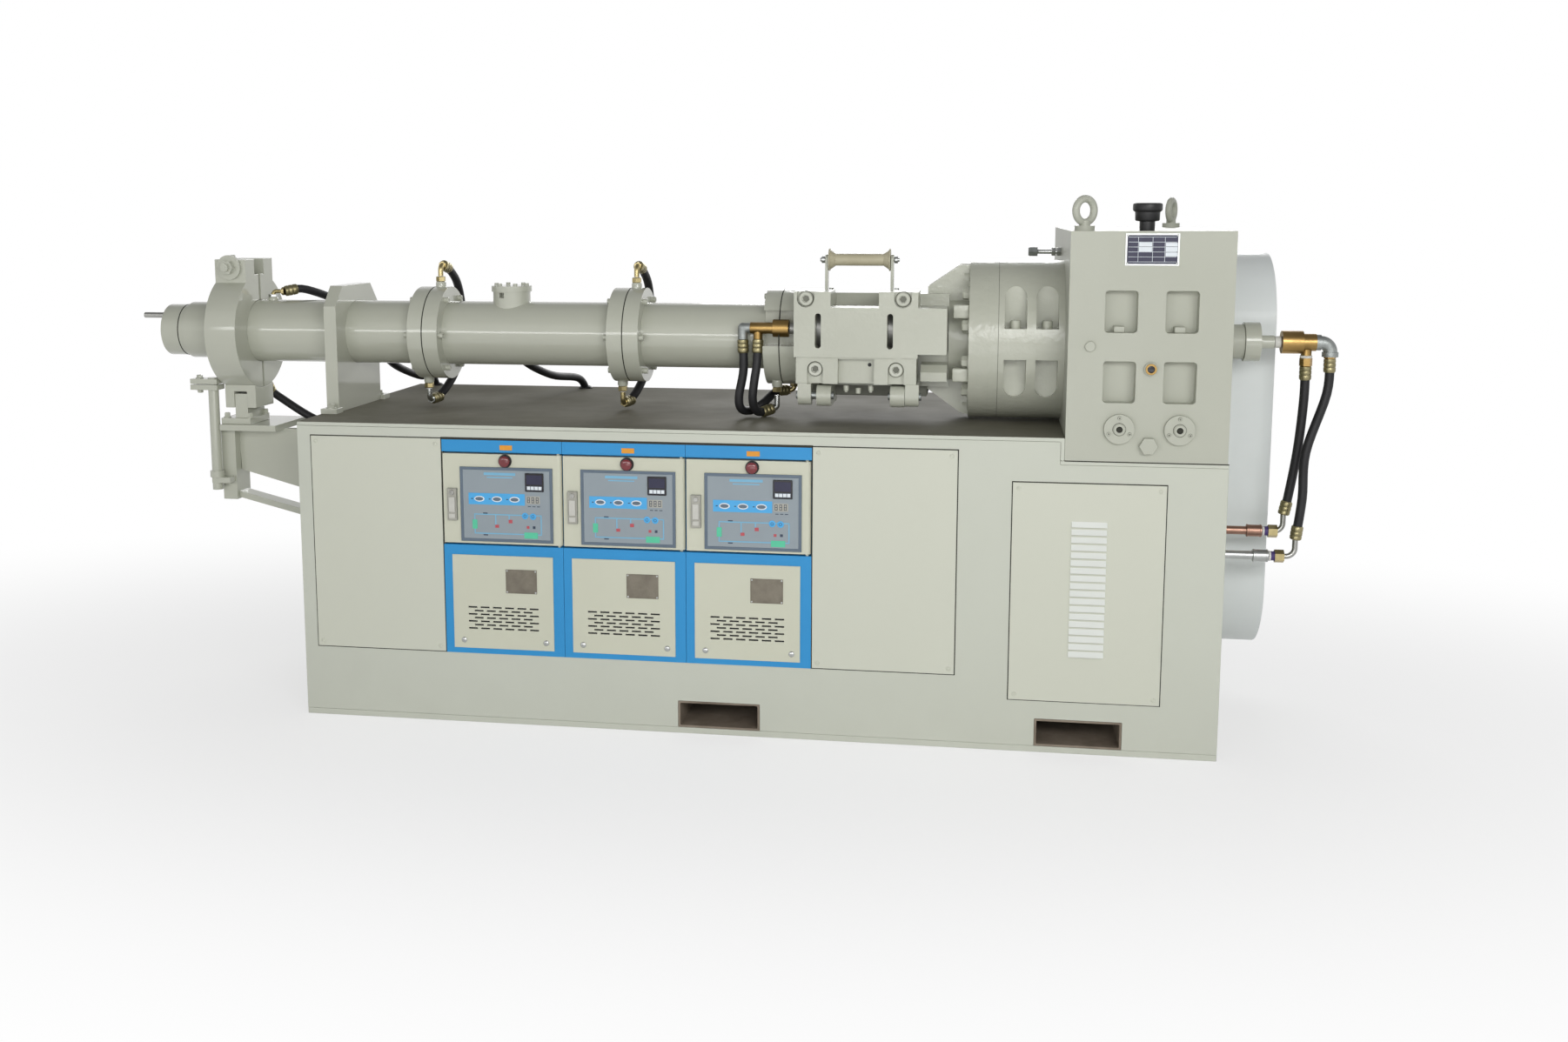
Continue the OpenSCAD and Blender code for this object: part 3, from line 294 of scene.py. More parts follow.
class Paint:
    """The finishes of this machine."""

    BASE = Finish("cabinet_cream_paint", (198, 201, 189), (190, 193, 180), 0.48, cloud=0.9, mottle=0.4,
                  peel_scale=210, bump=0.05, sag=0.25, dust=0.16, dust_high=0.3, specular=0.25)
    PANEL = Finish("cover_cream_paint", (203, 205, 191), (199, 201, 187), 0.48, cloud=0.7, mottle=0.4,
                   peel_scale=230, bump=0.04, specular=0.25)
    # Painted light: the slats are painted paler than the panel for the light their upturned faces catch
    SLAT_LIT = Finish("louvre_painted_light", (230, 233, 228), (220, 223, 217), 0.4, cloud=3.0, mottle=0.3,
                  peel_scale=230, bump=0.04, specular=0.25)
    GEARBOX = Finish("gearbox_cream_paint", (181, 183, 170), (172, 174, 160), 0.4, cloud=1.6, mottle=0.45,
                     peel_scale=150, bump=0.08, sag=0.3, specular=0.3)
    BARREL = Finish("barrel_grey_green_paint", (186, 188, 174), (177, 179, 164), 0.36, cloud=1.8, mottle=0.4,
                    peel_scale=140, bump=0.05, sag=0.4, coat=0.8)
    CASTING = Finish("casting_grey_green_paint", (187, 189, 175), (170, 172, 157), 0.2, cloud=4.0,
                     mottle=0.5, peel_scale=75, peel=0.8, bump=0.3, sag=0.7, specular=0.5)
    DECK = Finish("deck_worn_paint", (126, 124, 112), (98, 95, 83), 0.55, cloud=2.4, mottle=0.7,
                  peel_scale=110, bump=0.06, specular=0.04, rough_swing=0.2)
    # Painted shadow: dark paint for the gap lines round panels, flanges and plug bosses
    SEAM_SHADOW = Finish("seam_shadow", (66, 66, 60), (48, 48, 44), 0.75, cloud=20, mottle=0.5, bump=0.05,
                  specular=0.1)
    # Painted shade: the colour of the shade in sockets, in joint lines and under the feed box
    SHADE = Finish("recess_shade", (118, 119, 109), (98, 99, 90), 0.6, cloud=20, mottle=0.5, bump=0.05)
    POCKET = Finish("pocket_primer", (138, 127, 113), (96, 84, 72), 0.6, cloud=9, mottle=0.8, bump=0.15)
    UNIT_BLUE = Finish("unit_blue_coat", (48, 145, 205), (42, 132, 190), 0.4, cloud=3, mottle=0.35,
                       peel_scale=320, bump=0.07)
    UNIT_CREAM = Finish("unit_cream_coat", (202, 203, 185), (194, 195, 176), 0.45, cloud=3, mottle=0.35,
                        peel_scale=340, bump=0.08)
    # Pale paint, made lighter than the guard's own colour as painted light for the light the gearbox keeps off
    # it
    GUARD = Finish("guard_pale_paint_and_painted_light", (229, 234, 233), (212, 217, 215), 0.42, cloud=1.6, mottle=0.5,
                   peel_scale=200, bump=0.05, coat=0.1)
    STEEL = Finish("machined_steel", (168, 168, 164), (120, 118, 112), 0.3, metallic=1.0, cloud=18,
                   mottle=0.5, peel_scale=700, bump=0.05)
    ZINC = Finish("zinc_plate", (186, 188, 186), (140, 142, 140), 0.32, metallic=1.0, cloud=30, mottle=0.5,
                  peel_scale=500, bump=0.05)
    WORN = Finish("working_steel", (112, 110, 104), (52, 50, 47), 0.34, metallic=0.9, cloud=14, mottle=0.7,
                  peel_scale=400, bump=0.08)
    BRASS = Finish("union_brass", (164, 135, 84), (112, 89, 50), 0.32, metallic=1.0, cloud=24, mottle=0.55,
                   peel_scale=600, bump=0.04)
    OLIVE = Finish("fitting_olive_brass", (182, 168, 124), (126, 114, 80), 0.3, metallic=1.0, cloud=30,
                   mottle=0.5, peel_scale=600, bump=0.04)
    ROLLER = Finish("polished_roller", (150, 150, 146), (104, 104, 100), 0.3, metallic=0.5, cloud=12,
                    mottle=0.5, peel_scale=500, bump=0.05)
    LOCK = Finish("lock_grey_plate", (170, 169, 160), (150, 149, 140), 0.4, metallic=0.2, cloud=40,
                  mottle=0.4, peel_scale=500, bump=0.04)
    HANDLE = Finish("lock_handle", (198, 197, 190), (180, 179, 171), 0.36, cloud=40, mottle=0.4, bump=0.04)
    COPPER = Finish("pipe_copper", (162, 128, 112), (112, 86, 74), 0.34, metallic=1.0, cloud=20, mottle=0.6,
                    peel_scale=500, bump=0.05)
    HOSE = Finish("hose_black_rubber", (34, 34, 36), (20, 20, 22), 0.5, cloud=12, mottle=0.6, peel_scale=900,
                  bump=0.2)
    NYLON = Finish("roller_nylon", (188, 182, 156), (164, 155, 127), 0.4, cloud=10, mottle=0.5, bump=0.05)
    GALVANISED = Finish("galvanised_iron", (158, 162, 160), (112, 116, 114), 0.45, metallic=0.85, cloud=40,
                        mottle=0.7, peel_scale=380, bump=0.15)
    CHROME = Finish("chromed_elbow", (196, 198, 196), (150, 150, 146), 0.22, metallic=1.0, cloud=30,
                    mottle=0.5, peel_scale=500, bump=0.04)
    FERRULE = Finish("crimped_olive_brass", (152, 144, 110), (104, 97, 70), 0.36, metallic=0.9, cloud=30,
                     mottle=0.6, peel_scale=600, bump=0.06)
    PLATE = Finish("etched_plate_steel", (124, 118, 106), (90, 85, 75), 0.38, metallic=0.6, cloud=26,
                   mottle=0.6, peel_scale=420, bump=0.06)
    TAPE = Finish("thread_tape", (224, 224, 218), (176, 168, 158), 0.7, cloud=60, mottle=0.5, bump=0.1)
    PURPLE = Finish("purple_seal", (78, 62, 120), (52, 40, 84), 0.5, cloud=50, mottle=0.5)
    DISPLAY = Finish("display_film", (145, 155, 161), (136, 146, 153), 0.4, cloud=12, mottle=0.4,
                     peel_scale=500, bump=0.03)
    BEZEL = Finish("display_bezel", (98, 112, 126), (82, 95, 108), 0.36, cloud=14, mottle=0.4,
                   peel_scale=400, bump=0.05)
    SKY = printed("print_sky_blue", (80, 170, 226), (72, 158, 214))
    PALE = printed("print_pale_blue", (122, 178, 208), (112, 168, 198))
    CHALK = printed("print_white", (226, 232, 236), (204, 212, 218))
    ROSE = printed("print_red", (186, 84, 92), (160, 66, 74))
    MINT = printed("print_green", (92, 198, 160), (74, 178, 140))
    INK = printed("print_ink", (58, 70, 88), (44, 54, 70), 0.42)
    # Dark screen; also the painted shade on the sheet behind the unit vents
    SCREEN_AND_SHADE = Finish("dark_screen_and_painted_shade", (26, 25, 30), (18, 17, 22), 0.16, cloud=20, mottle=0.4, bump=0.02,
                    coat=0.3)
    LENS = Finish("lamp_red_lens", (120, 38, 44), (84, 22, 28), 0.16, cloud=40, mottle=0.5, bump=0.04,
                  coat=0.6)
    ORANGE = Finish("tag_orange", (226, 154, 52), (204, 134, 40), 0.42, cloud=40, mottle=0.4, bump=0.03)
    NAVY = Finish("plate_navy", (46, 46, 70), (34, 34, 54), 0.34, cloud=20, mottle=0.5, bump=0.04)
    # Black moulding; also the painted shade of the feed housing's bleed hole
    BLACK_AND_SHADE = Finish("black_moulding_and_painted_shade", (30, 30, 31), (20, 20, 21), 0.4, cloud=8, mottle=0.5, peel_scale=500,
                   bump=0.08)


# Hand modelling

Place = Tuple[Point, Axis, float]
Profile = Sequence[Tuple[float, float]]
# Left, right, lower and upper edge of a panel in metres
Panel = Tuple[float, float, float, float]
# Faces whose normal has less than this along Y look to the front
FACING = -0.9


class Bench:
    """Operator-based modelling on one piece at a time."""

    @staticmethod
    def clear() -> None:
        """Leaves edit mode and deselects everything."""
        if bpy.context.mode != "OBJECT":
            bpy.ops.object.mode_set(mode="OBJECT")
        bpy.ops.object.select_all(action="DESELECT")

    @staticmethod
    def pick(*pieces: Piece) -> None:
        """Selects these pieces alone and makes the first one active."""
        Bench.clear()
        for piece in pieces:
            piece.select_set(True)
        bpy.context.view_layer.objects.active = pieces[0]

    @staticmethod
    def settle(*pieces: Piece) -> Piece:
        """Puts the pieces' place, turn and scale into their meshes, and gives the first one back."""
        Bench.pick(*pieces)
        bpy.ops.object.transform_apply(location=True, rotation=True, scale=True)
        return pieces[0]

    @staticmethod
    def modifier(piece: Piece, kind: str, **values: object) -> None:
        """Adds a modifier with values and applies it.

        Args:
            piece: the piece to change.
            kind: Blender's modifier type.
            values: the modifier's settings.
        """
        Bench.pick(piece)
        mod = piece.modifiers.new(kind.lower(), kind)
        for key, value in values.items():
            setattr(mod, key, value)
        bpy.ops.object.modifier_apply(modifier=mod.name)

    @staticmethod
    def round_edges(piece: Piece, width: float, segments: int = 2, degrees: float = 40.0) -> Piece:
        """Breaks the piece's sharp edges.

        Args:
            piece: the piece to change.
            width: the break in metres.
            segments: steps across it.
            degrees: edges sharper than this are broken.

        Returns:
            The piece.
        """
        Bench.modifier(piece, "BEVEL", width=width, segments=segments, limit_method="ANGLE",
                       angle_limit=math.radians(degrees), use_clamp_overlap=True)
        return piece

    @staticmethod
    def smooth(piece: Piece, degrees: float = 35.0) -> Piece:
        """Smooth shading up to an angle."""
        Bench.pick(piece)
        bpy.ops.object.shade_smooth_by_angle(angle=math.radians(degrees))
        return piece

    @staticmethod
    def faces(piece: Piece, test: Callable[[Vector, Vector], bool]) -> None:
        """Enters edit mode with the faces selected whose centre and normal pass a test."""
        Bench.pick(piece)
        mesh = piece.data
        bpy.context.tool_settings.mesh_select_mode = (False, False, True)
        mesh.vertices.foreach_set("select", [False] * len(mesh.vertices))
        mesh.edges.foreach_set("select", [False] * len(mesh.edges))
        for face in mesh.polygons:
            face.select = test(face.center, face.normal)
        bpy.ops.object.mode_set(mode="EDIT")

    @staticmethod
    def block(name: str, low: Sequence[float], high: Sequence[float]) -> Piece:
        """A box between two corners, as the start of a piece.

        Args:
            name: the piece's name.
            low: the lowest corner in metres.
            high: the highest corner in metres.

        Returns:
            The box, unbroken.
        """
        Bench.clear()
        bpy.ops.mesh.primitive_cube_add(size=1, location=[(a + b) / 2 for a, b in zip(low, high)])
        piece = bpy.context.object
        piece.name = name
        piece.scale = [b - a for a, b in zip(low, high)]
        return Bench.settle(piece)

    @staticmethod
    def turned(name: str, profile: Profile, sides: int = 24) -> Piece:
        """A turned piece on +Z, pulled up step by step from a disc.

        Args:
            name: the piece's name.
            profile: height and radius of each step in metres; a step down makes a bore.
            sides: corners of the disc, six for a nut.

        Returns:
            The piece, standing on the origin.
        """
        Bench.clear()
        height, radius = profile[0]
        bpy.ops.mesh.primitive_circle_add(vertices=sides, radius=radius, fill_type="NGON",
                                          location=(0, 0, height))
        piece = bpy.context.object
        piece.name = name
        Bench.settle(piece)
        bpy.ops.object.mode_set(mode="EDIT")
        bpy.ops.mesh.select_all(action="SELECT")
        for up, wide in profile[1:]:
            bpy.ops.mesh.extrude_region_move(TRANSFORM_OT_translate={"value": (0, 0, up - height)})
            if abs(wide - radius) > 1e-7:
                bpy.ops.transform.resize(value=(wide / radius, wide / radius, 1), center_override=(0, 0, up))
            height, radius = up, wide
        bpy.ops.mesh.select_all(action="SELECT")
        bpy.ops.mesh.normals_make_consistent(inside=False)
        bpy.ops.object.mode_set(mode="OBJECT")
        return piece

    @staticmethod
    def band(name: str, radius: float, wide: float, deep: float, sides: int = 96) -> Piece:
        """A flat ring round +Z, pulled step by step from an open circle.

        Args:
            name: the piece's name.
            radius: its outer radius in metres.
            wide: its width along Z.
            deep: how far it reaches inwards.
            sides: corners round the circle.

        Returns:
            The ring, centred on the origin.
        """
        Bench.clear()
        share = radius / (radius - deep)
        bpy.ops.mesh.primitive_circle_add(vertices=sides, radius=radius - deep, fill_type="NOTHING",
                                          location=(0, 0, -wide / 2))
        piece = bpy.context.object
        piece.name = name
        Bench.settle(piece)
        bpy.context.tool_settings.mesh_select_mode = (True, False, False)
        bpy.ops.object.mode_set(mode="EDIT")
        bpy.ops.mesh.select_all(action="SELECT")
        for up, scale in ((0, share), (wide, 1), (0, 1 / share), (-wide, 1)):
            bpy.ops.mesh.extrude_region_move(TRANSFORM_OT_translate={"value": (0, 0, up)})
            bpy.ops.transform.resize(value=(scale, scale, 1), center_override=(0, 0, 0))
        bpy.ops.mesh.select_all(action="SELECT")
        bpy.ops.mesh.remove_doubles(threshold=0.00001)
        bpy.ops.mesh.normals_make_consistent(inside=False)
        bpy.ops.object.mode_set(mode="OBJECT")
        return Bench.smooth(piece, 30)

    @staticmethod
    def matrix(place: Sequence[float], axis: Axis, turn: float = 0.0) -> Matrix:
        """The matrix that stands a piece made on +Z at a place along an axis."""
        stand = Euler(axis.value).to_matrix().to_4x4() @ Matrix.Rotation(turn, 4, "Z")
        return Matrix.Translation(place) @ stand

    @staticmethod
    def at(piece: Piece, place: Sequence[float], axis: Axis) -> Piece:
        """Stands a piece that was made on +Z at a place along an axis."""
        piece.matrix_world = Bench.matrix(place, axis)
        return Bench.settle(piece)

    @staticmethod
    def along(piece: Piece, place: Vector, heading: Vector) -> Piece:
        """Stands a piece that was made on +Z at a place along a heading."""
        piece.matrix_world = Matrix.Translation(place) @ heading.to_track_quat("Z", "Y").to_matrix().to_4x4()
        return Bench.settle(piece)

    @staticmethod
    def join(name: str, pieces: Sequence[Piece]) -> Piece:
        """Joins pieces to one and names it."""
        Bench.pick(*pieces)
        if len(pieces) > 1:
            bpy.ops.object.join()
        pieces[0].name = name
        return pieces[0]

    @staticmethod
    def repeat(name: str, master: Piece, places: Sequence[Place]) -> Piece:
        """Copies a master to its places, joins the copies and drops the master.

        Args:
            name: the joined piece's name.
            master: the piece to copy, made on +Z.
            places: point, axis and turn of each copy.

        Returns:
            The joined piece.
        """
        made: List[Piece] = []
        for place, axis, turn in places:
            copy = bpy.data.objects.new(name, master.data.copy())
            bpy.context.scene.collection.objects.link(copy)
            copy.matrix_world = Bench.matrix(place, axis, turn)
            made.append(copy)
        Bench.settle(*made)
        bpy.data.objects.remove(master)
        return Bench.join(name, made)

    @staticmethod
    def paint(piece: Piece, finish: Finish) -> Piece:
        """Gives a piece one finish."""
        piece.data.materials.clear()
        piece.data.materials.append(finish.material())
        return piece

    @staticmethod
    def dress(piece: Piece, slot: str, finish: Optional[Finish] = None,
              body: Body = Body.FRAME) -> Piece:
        """Gives a piece its finish and the body it rides on.

        Args:
            piece: the piece.
            slot: the record's material slot; not used.
            finish: its surface, or None where it is painted already.
            body: the CAD body it moves with.

        Returns:
            The piece.
        """
        if finish is not None:
            Bench.paint(piece, finish)
        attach(piece, body.value)
        LOG.info("piece %s", piece.name)
        return piece

    @staticmethod
    def stand(name: str, profile: Profile, sides: int, place: Sequence[float], axis: Axis, finish: Finish,
              angle: float = 30.0) -> Piece:
        """A turned piece at its place.

        Args:
            name: the piece's name.
            profile: height and radius of each step in metres.
            sides: corners of the disc.
            place: where its foot stands.
            axis: the way it points.
            finish: its surface.
            angle: shading is smooth up to this angle in degrees.

        Returns:
            The painted piece.
        """
        piece = Bench.at(Bench.turned(name, profile, sides), place, axis)
        return Bench.paint(Bench.smooth(piece, angle), finish)

    @staticmethod
    def slab(name: str, low: Sequence[float], high: Sequence[float], edge: float, steps: int,
             finish: Finish) -> Piece:
        """A painted box between two corners with broken edges.

        Args:
            name: the piece's name.
            low: the lowest corner in metres.
            high: the highest corner in metres.
            edge: the break of its edges.
            steps: steps across the break.
            finish: its surface.

        Returns:
            The box.
        """
        return Bench.paint(Bench.round_edges(Bench.block(name, low, high), edge, steps), finish)

    @staticmethod
    def recess(piece: Piece, rim: float, deep: float, floor: Optional[Finish] = None) -> None:
        """Sets a plate's front face back inside a rim.

        Args:
            piece: the plate, facing -Y.
            rim: the rim's width in metres.
            deep: how far the face goes back.
            floor: the finish of the face that is set back, if it has one of its own.
        """
        front = min(face.center.y for face in piece.data.polygons)
        Bench.faces(piece, lambda centre, normal: normal.y < FACING)
        bpy.ops.mesh.inset(thickness=rim)
        bpy.ops.mesh.extrude_region_move(TRANSFORM_OT_translate={"value": (0, deep, 0)})
        bpy.ops.object.mode_set(mode="OBJECT")
        if floor is None:
            return
        piece.data.materials.append(floor.material())
        for face in piece.data.polygons:
            if face.normal.y < FACING and face.center.y > front + deep / 2:
                face.material_index = 1

    @staticmethod
    def tube(name: str, points: Sequence[Vector], radius: float, rounds: int) -> Piece:
        """A round tube along points, as a curve with closed ends.

        Args:
            name: the tube's name.
            points: its centre line.
            radius: its radius in metres.
            rounds: how finely its section is rounded.

        Returns:
            The curve's object.
        """
        curve = bpy.data.curves.new(name + "_line", "CURVE")
        curve.dimensions = "3D"
        curve.bevel_depth = radius
        curve.bevel_resolution = rounds
        curve.use_fill_caps = True
        spline = curve.splines.new("POLY")
        spline.points.add(len(points) - 1)
        for point, place in zip(spline.points, points):
            point.co = (*place, 1.0)
        spline.use_smooth = True
        piece = bpy.data.objects.new(name, curve)
        bpy.context.scene.collection.objects.link(piece)
        return piece

    @staticmethod
    def meshed(piece: Piece) -> Piece:
        """Turns a curve's object into a mesh."""
        Bench.pick(piece)
        bpy.ops.object.convert(target="MESH")
        return bpy.context.object

    @staticmethod
    def rivets(corners: Sequence[Tuple[float, float]], y: float, radius: float, height: float) -> Piece:
        """Small zinc rivets at the corners of a plate that faces -Y."""
        places = [((x, y, z), Axis.MINUS_Y, 0.0) for x, z in corners]
        return Bench.paint(Bench.repeat("rivets", Fasteners.pan(radius, height), places), Paint.ZINC)

    @staticmethod
    def corners(panel: Panel, inset: float) -> List[Tuple[float, float]]:
        """The four points inside a panel's corners."""
        x0, x1, z0, z1 = panel
        left, right, low, high = x0 + inset, x1 - inset, z0 + inset, z1 - inset
        return [(left, low), (right, low), (left, high), (right, high)]


Zone = Tuple[Callable[[Vector], bool], Finish]


def soften(node: str, finish: Finish, body: Body, width: float, zones: Sequence[Zone]) -> Piece:
    """A copy of a CAD node with its edges broken, which stands for the node.

    Args:
        node: the CAD node's name.
        finish: the surface.
        body: the body the node belongs to.
        width: how far the edges are broken, in metres, or 0 for a pressed sheet that keeps its facets.
        zones: tests on a face's centre, each with the finish of the faces that pass.

    Returns:
        The new piece.
    """
    source = FRAME["nodes"][node]
    piece = bpy.data.objects.new(node + "_skin", source.data.copy())
    bpy.context.scene.collection.objects.link(piece)
    Bench.pick(piece)
    bpy.ops.object.mode_set(mode="EDIT")
    bpy.ops.mesh.select_all(action="SELECT")
    bpy.ops.mesh.remove_doubles(threshold=0.00002)
    bpy.ops.mesh.customdata_custom_splitnormals_clear()
    if width > 0:
        bpy.ops.mesh.dissolve_limited(angle_limit=math.radians(0.6))
    bpy.ops.object.mode_set(mode="OBJECT")
    if width > 0:
        Bench.modifier(piece, "BEVEL", width=width, segments=2, limit_method="ANGLE",
                       angle_limit=math.radians(38),
                       use_clamp_overlap=True, harden_normals=False, miter_outer="MITER_ARC")
        Bench.smooth(piece, 32)
        Bench.modifier(piece, "WEIGHTED_NORMAL", keep_sharp=True)
    else:
        Bench.smooth(piece, 12)
    Bench.dress(piece, SLOT_OF[node], finish, body)
    for index, (inside, other) in enumerate(zones, start=1):
        piece.data.materials.append(other.material())
        for face in piece.data.polygons:
            if inside(face.center):
                face.material_index = index
    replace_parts(piece, node)
    return piece


@dataclass
class Station:
    """Places along the machine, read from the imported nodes, in metres."""

    axis_y: float = 0.0
    axis_z: float = 0.0
    deck: float = 0.0
    front: float = 0.0
    left: float = 0.0
    right: float = 0.0
    head: float = 0.0
    seams: Tuple[float, float, float] = (0.0, 0.0, 0.0)
    gear: float = 0.0
    union: float = 0.0
    box_right: float = 0.0
    box_flange: float = 0.048

    def read(self) -> "Station":
        """Fills the places from the CAD boxes."""
        low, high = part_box("bearing_drum")
        self.axis_y, self.axis_z = (low[1] + high[1]) / 2, (low[2] + high[2]) / 2
        self.gear = high[0]
        self.box_right = low[0] - self.box_flange
        self.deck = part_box("deck_plate")[1][2]
        self.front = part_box("base_front_wall")[0][1]
        self.left, self.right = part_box("base_floor")[0][0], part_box("base_floor")[1][0]
        self.seams = (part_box("barrel_middle")[0][0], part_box("barrel_middle")[1][0],
                      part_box("barrel_rear")[1][0])
        self.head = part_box("barrel_front")[0][0]
        self.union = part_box("screw_union")[0][0]
        return self


# Fasteners


class Fasteners:
    """Screws and bolts, each kind modelled once and copied to its places."""

    @staticmethod
    def hexagon(radius: float, height: float, washer: float = 0.0025) -> Piece:
        """A hexagon head on a washer, in metres."""
        head = Bench.turned("hexagon",
                            [(washer, radius), (washer + 0.78 * height, radius),
                             (washer + height, 0.84 * radius)], 6)
        ring = Bench.turned("washer",
                            [(0, 1.32 * radius), (0.7 * washer, 1.32 * radius), (washer, 1.24 * radius)], 20)
        return Bench.smooth(Bench.join("hexagon", [head, ring]), 30)

    @staticmethod
    def socket(radius: float, height: float) -> Piece:
        """A round head with a socket, in metres."""
        soft = 0.12 * radius
        steps = [(0, radius), (height - soft, radius), (height, radius - soft), (height, 0.55 * radius),
                 (0.5 * height, 0.5 * radius)]
        return Bench.smooth(Bench.turned("socket", steps, 20), 30)

    @staticmethod
    def socket_set(name: str, radius: float, height: float, places: Sequence[Place], finish: Finish) -> Piece:
        """Painted socket heads with painted shade in the hexagon socket and a painted shadow line round the
        foot, as one piece.

        Args:
            name: the piece's name.
            radius: the heads' radius in metres.
            height: their height.
            places: where they sit.
            finish: the heads' surface.

        Returns:
            The joined piece, painted.
        """
        heads = Bench.paint(Bench.repeat(name, Fasteners.socket(radius, height), places), finish)
        # Painted shade: a dark core in the socket and a dark ring round the foot of each head
        core = Bench.turned("core", [(0.45 * height, 0.48 * radius), (0.56 * height, 0.46 * radius)], 6)
        foot = Bench.turned("foot",
                            [(-0.0006, 1.10 * radius), (0.0008, 1.10 * radius), (0.0012, 1.04 * radius)], 24)
        dark = [Bench.paint(Bench.repeat("dark", piece, places), Paint.SHADE) for piece in (core, foot)]
        return Bench.join(name, [heads, *dark])

    @staticmethod
    def pan(radius: float, height: float) -> Piece:
        """A low domed head with a recess, in metres."""
        steps = [(0, radius), (0.35 * height, radius), (0.8 * height, 0.74 * radius), (height, 0.42 * radius),
                 (height, 0.26 * radius), (0.55 * height, 0.2 * radius)]
        return Bench.smooth(Bench.turned("pan", steps, 16), 40)


# Hoses

HOSE_D = 0.023
FLANGE_R = 0.127
BARREL_R = 0.087
CLAMP_R = 0.160
FERRULE = [(0, 0.0122), (0.002, 0.0145), (0.009, 0.0150), (0.011, 0.0138), (0.013, 0.0150), (0.020, 0.0150),
           (0.022, 0.0138), (0.024, 0.0150), (0.033, 0.0148), (0.036, 0.0126)]
GROMMET = [(0, 0.021), (0.003, 0.021), (0.006, 0.018), (0.007, 0.013), (0.0005, 0.0122)]


@dataclass
class Hose:
    """One water hose on its route from part.scad, with crimped sleeves at its ends."""

    node: str
    route: List[Point]
    moving: bool = False
    far_sleeve: bool = True

    def line(self, steps: int = 6) -> List[Vector]:
        """The smooth centre line, by the same rule as the CAD sweep."""
        p = [Vector(q) for q in self.route]
        out: List[Vector] = []
        for i in range(len(p) - 1):
            a, b, c, d = p[max(i - 1, 0)], p[i], p[i + 1], p[min(i + 2, len(p) - 1)]
            for k in range(steps):
                s = k / steps
                square, cube = 2 * a - 5 * b + 4 * c - d, 3 * b - a - 3 * c + d
                out.append(0.5 * (2 * b + (c - a) * s + square * s * s + cube * s ** 3))
        return out + [p[-1]]

    def sleeve(self, end: str, at: Vector, heading: Vector, body: Body) -> Piece:
        """A crimped sleeve on one end of the hose.

        Args:
            end: a word for the piece's name.
            at: where the sleeve starts.
            heading: the way it runs along the hose.
            body: the body it moves with.

        Returns:
            The sleeve.
        """
        piece = Bench.turned(f"{self.node}_{end}_sleeve", FERRULE, 20)
        Bench.smooth(Bench.along(piece, at, heading), 40)
        return Bench.dress(piece, "brass_fitting", Paint.FERRULE, body)

    def build(self) -> None:
        """Makes the hose and its sleeves."""
        points = self.line()
        piece = Bench.tube(self.node + "_tube", points, HOSE_D / 2, 5)
        piece.data.materials.append(Paint.HOSE.material())
        near = Body.HOUSING if self.moving else Body.FRAME
        on = [self.sleeve("near", points[0], points[1] - points[0], near)]
        if self.far_sleeve:
            on.append(self.sleeve("far", points[-1], points[-2] - points[-1], Body.FRAME))
        length = sum((b - a).length for a, b in zip(points, points[1:]))
        facts = dict(exit=tuple(points[0]), length=length, diameter=HOSE_D, far_end="object",
                     stiffness="stiff", lay="hanging", with_pieces=on)
        if self.moving:
            piece = Bench.meshed(piece)
            facts["path"] = [tuple(q) for q in points]
            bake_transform(piece)
        else:
            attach(piece, Body.FRAME.value)
        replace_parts(piece, self.node)
        LOG.info("%s %.3f m", self.node, length)


